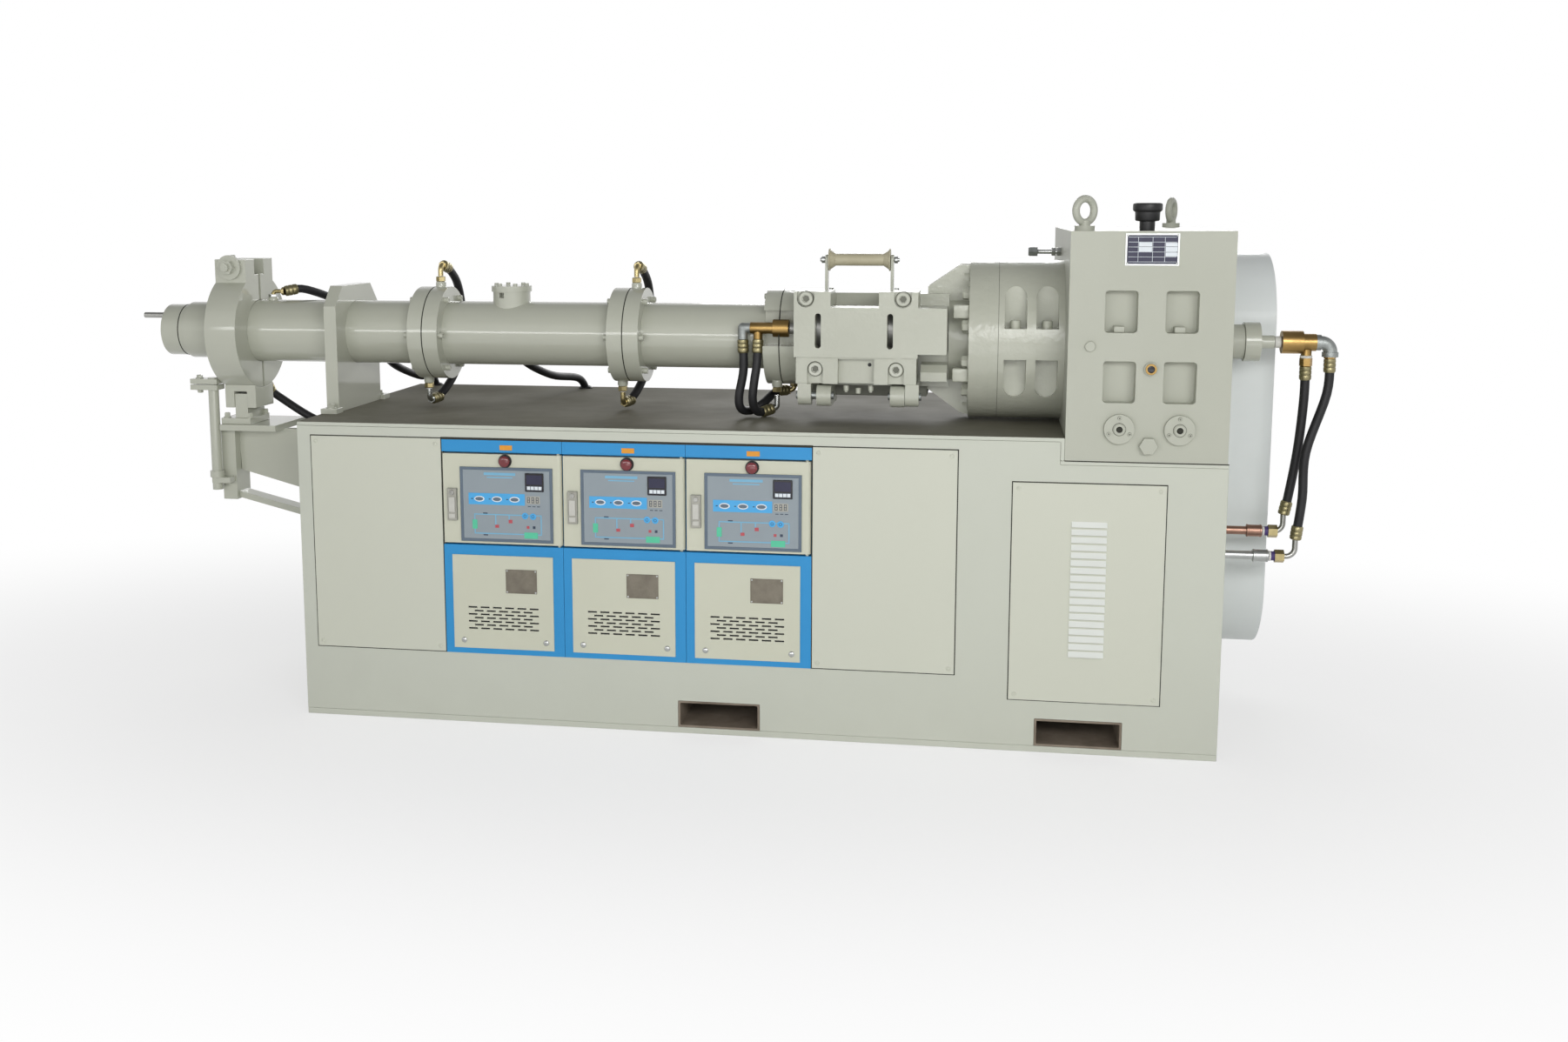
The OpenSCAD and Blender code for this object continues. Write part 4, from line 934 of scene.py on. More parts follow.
class HoseSet:
    """All water hoses, on the routes that part.scad gives."""

    def __init__(self, at: Station) -> None:
        """Keeps the places that the routes hang on."""
        self.at = at

    def routes(self) -> List[Hose]:
        """The hoses with their route points in metres."""
        ya, za, deck = self.at.axis_y, self.at.axis_z, self.at.deck
        xl, xr = self.at.left, self.at.right
        seam1, seam2, seam3 = self.at.seams
        head, union = self.at.head, self.at.union
        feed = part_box("feed_union")[1][0]
        ry = (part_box("feed_roller")[0][1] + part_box("feed_roller")[1][1]) / 2
        rz = za + 0.030
        flange, barrel = FLANGE_R, BARREL_R
        top, low = za + flange + 0.0001, za - flange - 0.0001
        pipe_z, pipe_y = (za - 0.495, za - 0.552), (ya + 0.020, ya - 0.020)
        drop = (ya - 0.050, ya + 0.040)
        zone = seam1 + 0.160

        def loop(x: float) -> List[Point]:
            """The C-shaped hose round a flange pair."""
            return [(x + 0.014, ya + 0.022, top + 0.058), (x + 0.017, ya + 0.062, za + 0.172),
                    (x + 0.020, ya + 0.112, za + 0.136), (x + 0.019, ya + 0.148, za + 0.078),
                    (x + 0.016, ya + 0.163, za + 0.004), (x + 0.011, ya + 0.152, za - 0.070),
                    (x + 0.005, ya + 0.116, za - 0.126), (x - 0.006, ya + 0.072, za - 0.164),
                    (x - 0.020, ya + 0.042, low - 0.058), (x - 0.028, ya + 0.022, low - 0.062)]

        a, b = union + 0.062, union + 0.120
        fa, fb = feed - 0.122, feed - 0.082
        ht, hb = head + 0.120, head + 0.010
        zt = za + barrel + 0.024
        stub = math.radians(150)
        reach = CLAMP_R + 0.0262
        return [
            Hose("hose_screw_a", [
                (a, ya, za - 0.060), (a, ya + 0.002, za - 0.150), (a - 0.008, ya + 0.010, za - 0.280),
                (xr + 0.205, pipe_y[0], za - 0.400), (xr + 0.195, pipe_y[0], pipe_z[0] + 0.045)]),
            Hose("hose_screw_b", [
                (b, ya, za - 0.040), (b - 0.004, ya - 0.004, za - 0.130), (b - 0.050, ya - 0.016, za - 0.280),
                (xr + 0.232, pipe_y[1], za - 0.400), (xr + 0.220, pipe_y[1], pipe_z[1] + 0.045)]),
            Hose("hose_feed_a", [
                (fa, ry, rz - 0.030), (fa + 0.002, ry - 0.002, za - 0.080),
                (fa - 0.010, ry - 0.002, za - 0.150), (fa - 0.006, ry + 0.008, za - 0.184),
                (fa + 0.014, ry + 0.044, za - 0.193), (fa + 0.042, ya - 0.046, za - 0.178),
                (fa + 0.072, ya + 0.012, low - 0.024), (seam3 + 0.002, drop[1], low - 0.022)], moving=True),
            Hose("hose_feed_b", [
                (fb, ry, rz - 0.030), (fb - 0.001, ry - 0.010, za - 0.060),
                (fb - 0.008, ry - 0.015, za - 0.112), (fb - 0.012, ry - 0.013, za - 0.158),
                (fb - 0.005, ry + 0.006, za - 0.188), (fb + 0.008, ry + 0.038, za - 0.195),
                (seam3 - 0.026, drop[0], low - 0.062)], moving=True),
            Hose("hose_loop_1", loop(seam1)),
            Hose("hose_loop_2", loop(seam2)),
            Hose("hose_head_top", [
                (ht, ya, zt), (ht + 0.046, ya + 0.042, zt + 0.003), (ht + 0.112, ya + 0.150, za + 0.062),
                (ht + 0.168, ya + 0.214, za - 0.040), (ht + 0.204, ya + 0.272, za - 0.116),
                (ht + 0.228, ya + 0.420, za - 0.168), (ht + 0.240, ya + 0.500, deck + 0.034),
                (ht + 0.244, ya + 0.530, deck)], far_sleeve=False),
            Hose("hose_head_bottom", [
                (hb, ya + reach * math.sin(stub), za + reach * math.cos(stub)),
                (hb + 0.007, ya + 0.106, za - 0.186), (hb + 0.038, ya + 0.112, za - 0.211),
                (hb + 0.124, ya + 0.112, za - 0.262), (hb + 0.210, ya + 0.124, za - 0.298),
                (xl, ya + 0.135, deck - 0.100)], far_sleeve=False),
            Hose("hose_zone", [
                (zone, ya + barrel + 0.034, za), (zone + 0.008, ya + 0.164, za - 0.034),
                (zone + 0.028, ya + 0.192, za - 0.094), (zone + 0.070, ya + 0.330, za - 0.150),
                (zone + 0.112, ya + 0.476, deck + 0.036),
                (zone + 0.126, ya + 0.516, deck)], far_sleeve=False),
        ]

    def grommets(self) -> None:
        """Rubber rings where hoses pass through the deck and the end wall."""
        for hose, axis in (("hose_head_top", Axis.Z), ("hose_zone", Axis.Z),
                           ("hose_head_bottom", Axis.MINUS_X)):
            end = next(h for h in self.routes() if h.node == hose).route[-1]
            ring = Bench.stand(hose + "_grommet", GROMMET, 24, end, axis, Paint.BLACK_AND_SHADE, 40)
            Bench.dress(ring, "black_plastic")

    def build(self) -> None:
        """Makes every hose."""
        for hose in self.routes():
            hose.build()
        self.grommets()


# Base

BAY_GAP = 0.0025
COVER_GAP = 0.030
REAR_COVERS = 3


def front_panels() -> List[Panel]:
    """The front covers and the louvre panel."""
    low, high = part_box("front_cover_panels")
    bay_low, bay_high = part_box("unit_cabinets")
    vent_low, vent_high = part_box("louvre_panel")
    return [(low[0], bay_low[0] - BAY_GAP, low[2], high[2]),
            (bay_high[0] + BAY_GAP, high[0], low[2], high[2]),
            (vent_low[0], vent_high[0], vent_low[2], vent_high[2])]


def rear_panels() -> List[Panel]:
    """The rear covers."""
    low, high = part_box("rear_cover_panels")
    pitch = (high[0] - low[0] + COVER_GAP) / REAR_COVERS
    lefts = [low[0] + i * pitch for i in range(REAR_COVERS)]
    return [(left, left + pitch - COVER_GAP, low[2], high[2]) for left in lefts]


@dataclass
class CabinetScrews:
    """Panel screws round the base."""

    inset: float = 0.014
    radius: float = 0.0055
    height: float = 0.003

    def row(self, name: str, panels: Sequence[Panel], y: float, axis: Axis) -> None:
        """The corner screws of some panels, as one piece.

        Args:
            name: the piece's name.
            panels: the panels.
            y: where their faces are.
            axis: the way they face.
        """
        places: List[Place] = []
        for panel in panels:
            spots = Bench.corners(panel, self.inset)
            places += [((x, y, z), axis, 0.3 * i) for i, (x, z) in enumerate(spots)]
        screws = Bench.repeat(name, Fasteners.pan(self.radius, self.height), places)
        Bench.dress(screws, "panel_paint", Paint.PANEL)

    def build(self) -> None:
        """Makes the screws of the front covers, the louvre panel and the rear covers."""
        self.row("front_panel_screws", front_panels(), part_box("front_cover_panels")[0][1], Axis.MINUS_Y)
        self.row("rear_panel_screws", rear_panels(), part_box("rear_cover_panels")[1][1], Axis.Y)


@dataclass
class ShadowGaps:
    """Painted shadow: dark sheets and rings that show as shadow lines where sheets, castings and flanges meet.
    """

    at: Station
    rim: float = 0.0026
    proud: float = 0.0006
    header: float = 0.0035
    under: float = 0.0012
    ring_wide: float = 0.0030
    ring_deep: float = 0.0050
    flange: float = 0.1272
    drum: float = 0.2050
    cap: float = 0.0724
    cap_x: float = 0.052
    joint_shadow: Tuple[float, float, float] = (0.2064, 0.0012, 0.0020)
    joint_x: float = 0.025

    def sheet(self, panel: Panel, y: float) -> Piece:
        """A thin dark sheet behind a panel, whose rim paints the shadow line round the panel in front of it.
        """
        x0, x1, z0, z1 = panel
        return Bench.slab("gap", (x0 - self.rim, y - self.proud, z0 - self.rim),
                          (x1 + self.rim, y + self.proud, z1 + self.rim), 0.0002, 1, Paint.SEAM_SHADOW)

    def panels(self) -> None:
        """Painted shadow lines round the covers, over the units and under the gearbox."""
        bay_low, bay_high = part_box("unit_cabinets")
        gear_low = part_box("gearbox")[0]
        over = (bay_low[0], bay_high[0], bay_high[2], bay_high[2] + self.header)
        seat = (gear_low[0] + self.rim, self.at.right - self.rim, gear_low[2] + self.under,
                gear_low[2] - self.under)
        made = [self.sheet(panel, self.at.front) for panel in (*front_panels(), over, seat)]
        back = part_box("base_rear_wall")[1][1]
        made += [self.sheet(panel, back) for panel in rear_panels()]
        Bench.dress(Bench.join("panel_gaps", made), "base_paint")

    def rings(self) -> None:
        """Painted shadow lines at the barrel's flanges, the drum's joint and the nose's cap."""
        y, z = self.at.axis_y, self.at.axis_z
        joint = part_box("bearing_drum")[0][0]
        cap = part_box("die_nose")[0][0] + self.cap_x
        made = []
        rows = [(seam, self.flange) for seam in self.at.seams] + [(joint, self.drum), (cap, self.cap)]
        for x, radius in rows:
            band = Bench.band("seam", radius, self.ring_wide, self.ring_deep)
            made.append(Bench.at(band, (x, y, z), Axis.X))
        Bench.dress(Bench.join("flange_seams", made), "barrel_paint", Paint.SEAM_SHADOW)
        # The drum's joint is a painted shade line.
        line = Bench.at(Bench.band("drum_joint_shadow", *self.joint_shadow), (joint + self.joint_x, y, z), Axis.X)
        Bench.dress(line, "barrel_paint", Paint.SHADE)

    def build(self) -> None:
        """Makes all lines."""
        self.panels()
        self.rings()


# Temperature units


# Plates on a unit's display: left, right, top and bottom edge and thickness in millimetres from the display's
# upper left corner, the finish, and how far out from the door the plate starts where that isn't 1
Tile = Tuple[object, ...]
CONTROLLER: List[Tile] = [
    (174, 223, 13, 61, 3.4, Paint.SCREEN_AND_SHADE), (178, 219, 18, 42, 0.5, Paint.NAVY, 4.2),
    (178, 219, 46, 57, 0.5, Paint.INK, 4.2),
    *((179.5 + 10 * i, 188 + 10 * i, 47, 56, 0.9, Paint.CHALK, 4.2) for i in range(4)),
]
FLOW_DRAWING: List[Tile] = [
    (36, 216, 122, 125, 0.4, Paint.PALE), (36, 216, 172, 175, 0.4, Paint.PALE),
                            (36, 39, 124, 173, 0.4, Paint.PALE),
    (213, 216, 124, 173, 0.4, Paint.PALE), (92, 95, 124, 150, 0.3, Paint.PALE),
                            (128, 131, 124, 142, 0.3, Paint.PALE),
    (31, 44, 138, 162, 0.7, Paint.MINT), (169, 205, 168, 184, 0.7, Paint.MINT),
                            (128, 138, 136, 145, 0.7, Paint.ROSE),
    (92, 102, 150, 158, 0.7, Paint.ROSE), (176, 183, 151, 158, 0.7, Paint.ROSE),
                            (192, 199, 151, 158, 0.7, Paint.INK),
    (60, 72, 119, 122, 0.5, Paint.INK), (60, 72, 176, 179, 0.5, Paint.INK),
]
TITLE_BARS: List[Tile] = [
    (64, 148, 14, 21, 0.3, Paint.PALE), (72, 140, 25, 28, 0.3, Paint.PALE), (22, 172, 68, 98, 0.4, Paint.SKY),
]
# Centre, width, height and thickness of the drawing's dots in millimetres, the finish, and whether hollow
FLOW_DOTS: List[Tile] = [
    (172, 125, 17, 17, 0.9, Paint.SKY, False), (193, 126, 17, 17, 0.9, Paint.SKY, False),
    (172, 125, 8, 8, 1.2, Paint.INK, True), (193, 126, 8, 8, 1.2, Paint.INK, True),
]
LAMP_COLLAR = [(0, 0.0175), (0.003, 0.0175), (0.005, 0.0162), (0.005, 0.0142), (0.0005, 0.0141)]
LAMP_LENS = [(0.0115, 0.0140), (0.0132, 0.0126), (0.0145, 0.0098), (0.0152, 0.0060), (0.0154, 0.0015)]
LOCK_KEY = [(0, 0.0068), (0.0028, 0.0066), (0.0034, 0.0058), (0.0034, 0.0030), (0.0016, 0.0028)]


@dataclass
class UnitFront:
    """Display, lamp, lock, tag and plate of one temperature unit."""

    index: int
    body: Body
    width: float = 0.320
    door_top: float = 0.036
    door_high: float = 0.234
    film_size: Tuple[float, float] = (0.246, 0.195)
    corner: Point = (0.0, 0.0, 0.0)
    left: float = 0.0
    face: float = 0.0
    top: float = 0.0
    low: float = 0.0

    def read(self) -> None:
        """Reads the unit's place from the cabinets' box."""
        low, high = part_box("unit_cabinets")
        self.left = low[0] - 0.0005 + self.index * self.width
        self.face, self.low = low[1], low[2]
        self.top = high[2] - self.door_top
        self.corner = (self.left + 0.049, self.face - 0.002, self.top - 0.033)

    def name(self, what: str) -> str:
        """A piece's name with the unit's number."""
        return f"unit_{self.index + 1}_{what}"

    def tile(self, left: float, right: float, top: float, bottom: float, thick: float, finish: Finish,
             lift: float = 1.0) -> Piece:
        """A thin plate on the display film, measured in millimetres from the display's upper left corner.

        Args:
            left: its left edge.
            right: its right edge.
            top: its upper edge.
            bottom: its lower edge.
            thick: how far it stands out.
            finish: its surface.
            lift: where it starts, out from the door.

        Returns:
            The plate.
        """
        x, y, z = self.corner
        size = min(thick, right - left, bottom - top) / 1000
        return Bench.slab("tile", (x + left / 1000, y - (lift + thick) / 1000, z - bottom / 1000),
                          (x + right / 1000, y - lift / 1000, z - top / 1000), 0.3 * size, 1, finish)

    def oval(self, across: float, down: float, wide: float, high: float, thick: float, finish: Finish,
             hollow: bool) -> Piece:
        """An oval on the display film, measured in millimetres from the display's upper left corner.

        Args:
            across: its centre to the right.
            down: its centre downwards.
            wide: its width.
            high: its height.
            thick: how far it stands out.
            finish: its surface.
            hollow: whether it is a ring.

        Returns:
            The oval.
        """
        x, y, z = self.corner
        r, t = high / 2000, thick / 1000
        profile = [(0, r), (0.7 * t, r), (t, 0.94 * r)]
        if hollow:
            profile += [(t, 0.72 * r), (0.3 * t, 0.68 * r)]
        piece = Bench.turned("oval", profile, 20)
        stand = Bench.matrix((x + across / 1000, y - 0.001, z - down / 1000), Axis.MINUS_Y)
        piece.matrix_world = stand @ Matrix.Diagonal((wide / high, 1, 1, 1))
        return Bench.paint(Bench.smooth(Bench.settle(piece), 30), finish)

    def film(self) -> Piece:
        """The display's bezel with the film set back in it."""
        x, y, z = self.corner
        wide, high = self.film_size
        piece = Bench.block("film", (x, y - 0.0026, z - high), (x + wide, y + 0.0016, z))
        Bench.recess(Bench.paint(piece, Paint.BEZEL), 0.0075, 0.0016, Paint.DISPLAY)
        return Bench.round_edges(piece, 0.0008, 2)

    def digits(self, left: float, top: float, wide: float, high: float, count: int) -> List[Piece]:
        """Unlit figures of seven bars each, such as any counter shows.

        Args:
            left: left edge of the first figure, in millimetres.
            top: upper edge.
            wide: pitch of the figures.
            high: their height.
            count: how many there are.

        Returns:
            The bars.
        """
        w, t = wide * 0.6, wide * 0.13
        middle, bottom = top + high / 2, top + high
        made: List[Piece] = []
        for i in range(count):
            x = left + i * wide
            bars = [(x, x + w, top, top + t), (x + w - t, x + w, top, middle),
                    (x + w - t, x + w, middle, bottom),
                    (x, x + w, bottom - t, bottom), (x, x + t, middle, bottom), (x, x + t, top, middle),
                    (x, x + w, middle - t / 2, middle + t / 2)]
            made += [self.tile(*bar, 0.3, Paint.INK, 1.5) for bar in bars]
        return made

    def display(self) -> None:
        """The whole display as one piece on the door."""
        parts = [self.film()] + [self.tile(*row) for row in TITLE_BARS]
        for across in (51, 98, 145):
            parts += [self.oval(across, 83, 27, 15, 1.2, Paint.CHALK, False),
                      self.oval(across, 83, 22, 10, 1.5, Paint.BEZEL, False),
                      self.tile(across - 22, across - 17, 82, 84.5, 0.6, Paint.INK)]
        parts += [self.tile(176, 212, 73, 93, 0.5, Paint.LOCK)] + self.digits(178.5, 75.5, 11.5, 15, 3)
        parts += [self.tile(180 + 12 * i, 188 + 12 * i, 99, 101, 0.3, Paint.INK) for i in range(3)]
        parts += [self.tile(*row) for row in CONTROLLER + FLOW_DRAWING]
        parts += [self.oval(*row) for row in FLOW_DOTS]
        Bench.dress(Bench.join(self.name("display"), parts), "unit_cream", body=self.body)

    def lamp(self) -> None:
        """The red lamp's collar and domed lens."""
        place = (self.left + 0.170, self.face, self.top - 0.017)
        collar = Bench.stand("collar", LAMP_COLLAR, 28, place, Axis.MINUS_Y, Paint.BLACK_AND_SHADE)
        lens = Bench.stand("lens", LAMP_LENS, 28, place, Axis.MINUS_Y, Paint.LENS, 50)
        Bench.dress(Bench.join(self.name("lamp"), [collar, lens]), "black_plastic", body=self.body)

    def lock(self) -> None:
        """The flush handle in its frame, with the key barrel above it."""
        x, y, z = self.left + 0.0275, self.face - 0.008, self.top - self.door_high + 0.060
        half, grip_half, seat = 0.0125, 0.0085, y - 0.0001
        frame = Bench.block("frame", (x - half, y - 0.0012, z), (x + half, y + 0.001, z + 0.084))
        Bench.recess(frame, 0.0022, 0.0010)
        Bench.paint(Bench.round_edges(frame, 0.0005, 1), Paint.LOCK)
        low, high = (x - grip_half, y - 0.0042, z + 0.022), (x + grip_half, seat, z + 0.062)
        handle = Bench.slab("handle", low, high, 0.0018, 3, Paint.HANDLE)
        low, high = (x - grip_half, y - 0.0030, z + 0.006), (x + grip_half, seat, z + 0.018)
        grip = Bench.slab("grip", low, high, 0.0012, 2, Paint.HANDLE)
        key = Bench.stand("key", LOCK_KEY, 20, (x, seat, z + 0.073), Axis.MINUS_Y, Paint.STEEL)
        Bench.dress(Bench.join(self.name("lock"), [frame, handle, grip, key]), "bright_steel", body=self.body)

    def tag(self) -> None:
        """The bare tag on the header."""
        x, y, z = self.left, self.face, self.top
        low, high = (x + 0.156, y - 0.0010, z + 0.011), (x + 0.189, y + 0.0004, z + 0.024)
        tag = Bench.slab(self.name("tag"), low, high, 0.0004, 1, Paint.ORANGE)
        Bench.dress(tag, "unit_blue")

    def plate(self, sheet: float) -> None:
        """The bare plate on the lower panel, whose face is at sheet."""
        x0, x1, z0, z1 = self.left + 0.166, self.left + 0.249, self.low + 0.165, self.low + 0.228
        plate = Bench.block("plate", (x0, sheet - 0.0012, z0), (x1, sheet + 0.0004, z1))
        Bench.recess(plate, 0.0030, 0.0003)
        Bench.paint(Bench.round_edges(plate, 0.0003, 1), Paint.PLATE)
        rivets = Bench.rivets(Bench.corners((x0, x1, z0, z1), 0.0035), sheet - 0.0010, 0.0024, 0.0014)
        Bench.dress(Bench.join(self.name("plate"), [plate, rivets]), "bright_steel")

    def vent(self, sheet: float) -> None:
        """The dark sheet behind the vent slots, which paints the shade inside them, and the lower panel's
        screws.
        """
        x, y, z = self.left, self.face, self.low
        # Painted shade: a dark sheet stands for the shade behind the slots
        back = Bench.slab(self.name("vent_backing"), (x + 0.062, y + 0.0012, z + 0.050),
                          (x + 0.262, y + 0.0030, z + 0.140), 0.0006, 1, Paint.SCREEN_AND_SHADE)
        Bench.dress(back, "black_plastic")
        places = [((x + across, sheet, z + 0.036), Axis.MINUS_Y, 0.4) for across in (0.050, 0.271)]
        screws = Bench.repeat(self.name("screws"), Fasteners.pan(0.0075, 0.0040), places)
        Bench.dress(screws, "bright_steel", Paint.ZINC)

    def build(self) -> None:
        """Makes the unit's front."""
        self.read()
        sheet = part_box("unit_lower_panels")[0][1]
        self.display()
        self.lamp()
        self.lock()
        self.tag()
        self.plate(sheet)
        self.vent(sheet)


# Barrel and head


@dataclass
class BarrelFasteners:
    """Bolts of the flanges, the support's feet and the die head."""

    at: Station
    circle: float = 0.107
    flange: float = 0.043
    foot_drop: float = 0.245
    foot_inset: float = 0.021
    arm: Tuple[float, float] = (-0.118, -0.060)

    def ring(self, x: float, axis: Axis, angles: Sequence[float]) -> List[Place]:
        """Places on the bolt circle, with angles from the front upwards in degrees."""
        y, z = self.at.axis_y, self.at.axis_z
        made: List[Place] = []
        for a in angles:
            turn = math.radians(a)
            place = (x, y - self.circle * math.cos(turn), z + self.circle * math.sin(turn))
            made.append((place, axis, 0.2 * a))
        return made

    @staticmethod
    def bolts(name: str, head: Piece, places: Sequence[Place]) -> None:
        """Painted bolts at their places, as one piece."""
        Bench.dress(Bench.repeat(name, head, places), "barrel_paint", Paint.BARREL)

    def flanges(self) -> None:
        """Six bolts on each side of a flange pair, and the few that the feed box leaves free."""
        six = range(0, 360, 60)
        places: List[Place] = []
        for seam in self.at.seams[:2]:
            places += self.ring(seam + self.flange, Axis.X, six)
            places += self.ring(seam - self.flange, Axis.MINUS_X, six)
        places += self.ring(self.at.seams[2] - self.flange, Axis.MINUS_X, [90, 135, 180, 225])
        self.bolts("flange_bolts", Fasteners.socket(0.0080, 0.0120), places)

    def feet(self) -> None:
        """Bolts of the support's feet and of the head's foot."""
        low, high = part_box("barrel_support")
        sides = (low[1] + self.foot_inset, high[1] - self.foot_inset)
        places = [((low[0] + 0.022, side, self.at.deck + 0.014), Axis.Z, 0.2) for side in sides]
        self.bolts("support_bolts", Fasteners.hexagon(0.0100, 0.0085), places)
        x, y, z = self.at.head, self.at.axis_y, self.at.axis_z - self.foot_drop
        places = [((x + dx, y + dy, z), Axis.Z, 0.3) for dx in (-0.046, 0.0235) for dy in (-0.047, 0.047)]
        self.bolts("foot_bolts", Fasteners.hexagon(0.0080, 0.0120), places)

    def clamp(self) -> None:
        """The clamp ring's stop screw and the bolts of its swing arm."""
        x, y, z = self.at.head, self.at.axis_y, self.at.axis_z
        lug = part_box("clamp_front_half")[1][2]
        steps = [(0, 0.0045), (0.0040, 0.0045), (0.0040, 0.0070), (0.0105, 0.0070), (0.0120, 0.0058)]
        pin = Bench.stand("clamp_stop_screw", steps, 6, (x - 0.004, y - 0.055, lug), Axis.Z, Paint.BARREL)
        Bench.dress(pin, "barrel_paint")
        arm_x, arm_y = x + self.arm[0], y + self.arm[1]
        places = [((arm_x, arm_y, z - 0.133), Axis.Z, 0.1), ((arm_x, arm_y, z - 0.164), Axis.MINUS_Z, 0.4)]
        self.bolts("swing_arm_bolts", Fasteners.hexagon(0.0085, 0.0075), places)

    def build(self) -> None:
        """Makes all bolts."""
        self.flanges()
        self.feet()
        self.clamp()


# Feed section


@dataclass
class FeedFasteners:
    """Screws of the feed housing, its brackets and the box's flange, and the plate under the box."""

    at: Station
    box_gap: float = 0.126
    roof: float = 0.033
    bolt_circle: float = 0.174

    def housing(self) -> None:
        """The housing's socket screws, the set screws that hang from its roof, and the bleed hole."""
        low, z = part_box("feed_housing")[0], self.at.axis_z
        x0, front, x1 = low[0], low[1], self.at.box_right - self.box_gap
        upper, lower = (front + 0.014, z + 0.113), (front + 0.021, z - 0.066)
        places = [((x0 + 0.030, *upper), Axis.MINUS_Y, 0.2), ((x1 - 0.038, *upper), Axis.MINUS_Y, 0.5),
                  ((x0 + 0.054, *lower), Axis.MINUS_Y, 0.1), ((x1 - 0.054, *lower), Axis.MINUS_Y, 0.7)]
        screws = Fasteners.socket_set("feed_housing_screws", 0.0180, 0.0130, places, Paint.BARREL)
        Bench.dress(screws, "barrel_paint", body=Body.HOUSING)
        roof = low[2] + self.roof
        hanging = []
        for i, (x, end) in enumerate(((0.248, 0.876), (0.279, 0.870), (0.311, 0.877))):
            drop = roof - end
            neck = drop - 0.014
            steps = [(0, 0.0042), (neck, 0.0042), (neck, 0.0068), (drop - 0.001, 0.0068), (drop, 0.0060)]
            place = (x, front + 0.040, roof)
            hanging.append(Bench.stand(f"hanging_{i}", steps, 16, place, Axis.MINUS_Z, Paint.CASTING))
        Bench.dress(Bench.join("feed_housing_set_screws", hanging), "barrel_paint", body=Body.HOUSING)
        # Painted shade: the bleed hole is a black ring and disc that stand for the dark inside of the hole
        steps = [(0, 0.0048), (0.0012, 0.0048), (0.0016, 0.0042), (0.0016, 0.0030), (0.0002, 0.0028)]
        place = (0.308, front + 0.032, z - 0.055)
        hole = Bench.stand("feed_housing_bleed_hole", steps, 16, place, Axis.MINUS_Y, Paint.BLACK_AND_SHADE)
        Bench.dress(hole, "black_plastic", body=Body.HOUSING)

    def bracket(self) -> None:
        """The bolts in the guide bracket's feet."""
        low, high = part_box("guide_bracket")
        y, z = (low[1] + high[1]) / 2, self.at.axis_z + 0.127
        feet = [((leg + 0.0155, y, z), Axis.Z, 0.3) for leg in (low[0] + 0.014, high[0] - 0.022)]
        bolts = Bench.repeat("guide_bracket_bolts", Fasteners.hexagon(0.0062, 0.0060, 0.0015), feet)
        Bench.dress(bolts, "bright_steel", Paint.ZINC)

    def flange(self) -> None:
        """Bolts and pads at the box's flange."""
        x, y, z = self.at.box_right, self.at.axis_y, self.at.axis_z
        ring: List[Place] = []
        for a in range(15, 375, 30):
            across = self.bolt_circle * math.cos(math.radians(a))
            up = self.bolt_circle * math.sin(math.radians(a))
            ring.append(((x, y - across, z + up), Axis.MINUS_X, 0.3))
        bolts = Bench.repeat("box_flange_bolts", Fasteners.hexagon(0.0150, 0.0150, 0.0030), ring)
        Bench.dress(bolts, "barrel_paint", Paint.CASTING)
        pads = []
        for up in (0.081, -0.080):
            low, high = (x - 0.040, y - 0.170, z + up - 0.017), (x + 0.0005, y - 0.132, z + up + 0.017)
            pads.append(Bench.smooth(Bench.slab("pad", low, high, 0.003, 3, Paint.CASTING), 40))
        Bench.dress(Bench.join("box_flange_pads", pads), "barrel_paint")

    def sole(self) -> None:
        """The plate under the box, painted in the colour of the shade there."""
        y, z = self.at.axis_y, self.at.axis_z
        x0, x1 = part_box("feed_housing")[0][0] + 0.014, self.at.box_right - self.box_gap + 0.020
        low, high = (x0, y - 0.080, z - 0.146), (x1, y + 0.080, z - 0.100)
        plate = Bench.slab("feed_box_sole_plate", low, high, 0.003, 3, Paint.SHADE)
        Bench.dress(Bench.smooth(plate, 40), "barrel_paint")

    def build(self) -> None:
        """Makes all screws of the feed section."""
        self.housing()
        self.bracket()
        self.flange()
        self.sole()


# Drive

PLUG_BOSS = [(0, 0.0150), (0.0020, 0.0150), (0.0044, 0.0128), (0.0052, 0.0122), (0.0052, 0.0078),
             (-0.005, 0.0072)]
SIGHT_RIM = [(0, 0.0160), (0.0060, 0.0160), (0.0075, 0.0148)]
SIGHT_RING = [(0.0075, 0.0134), (0.0120, 0.0134), (0.0128, 0.0126), (0.0128, 0.0088), (0.0102, 0.0082)]
SIGHT_LENS = [(0.0100, 0.0086), (0.0112, 0.0080), (0.0116, 0.0050), (0.0117, 0.0010)]
BREATHER = [(0, 0.0175), (0.006, 0.0180), (0.022, 0.0180), (0.0235, 0.0268), (0.026, 0.0285), (0.044, 0.0292),
            (0.048, 0.0338), (0.050, 0.0345), (0.061, 0.0345), (0.064, 0.0335), (0.0655, 0.0312),
            (0.0655, 0.0250),
            (0.0640, 0.0235)]
# Left, right, upper and lower edge of the lines and fields on the gearbox plate, from its upper left corner
PLATE_FIELDS = [
    (0.031, 0.061, 0.020, 0.031), (0.031, 0.061, 0.032, 0.043), (0.092, 0.119, 0.022, 0.031),
    (0.092, 0.119, 0.032, 0.043), (0.092, 0.119, 0.045, 0.054),
    *((0.007, 0.117, 0.0085 + 0.0116 * i, 0.0095 + 0.0116 * i) for i in range(6)),
    *((left, left + 0.001, 0.009, 0.0675) for left in (0.029, 0.062, 0.090)),
]


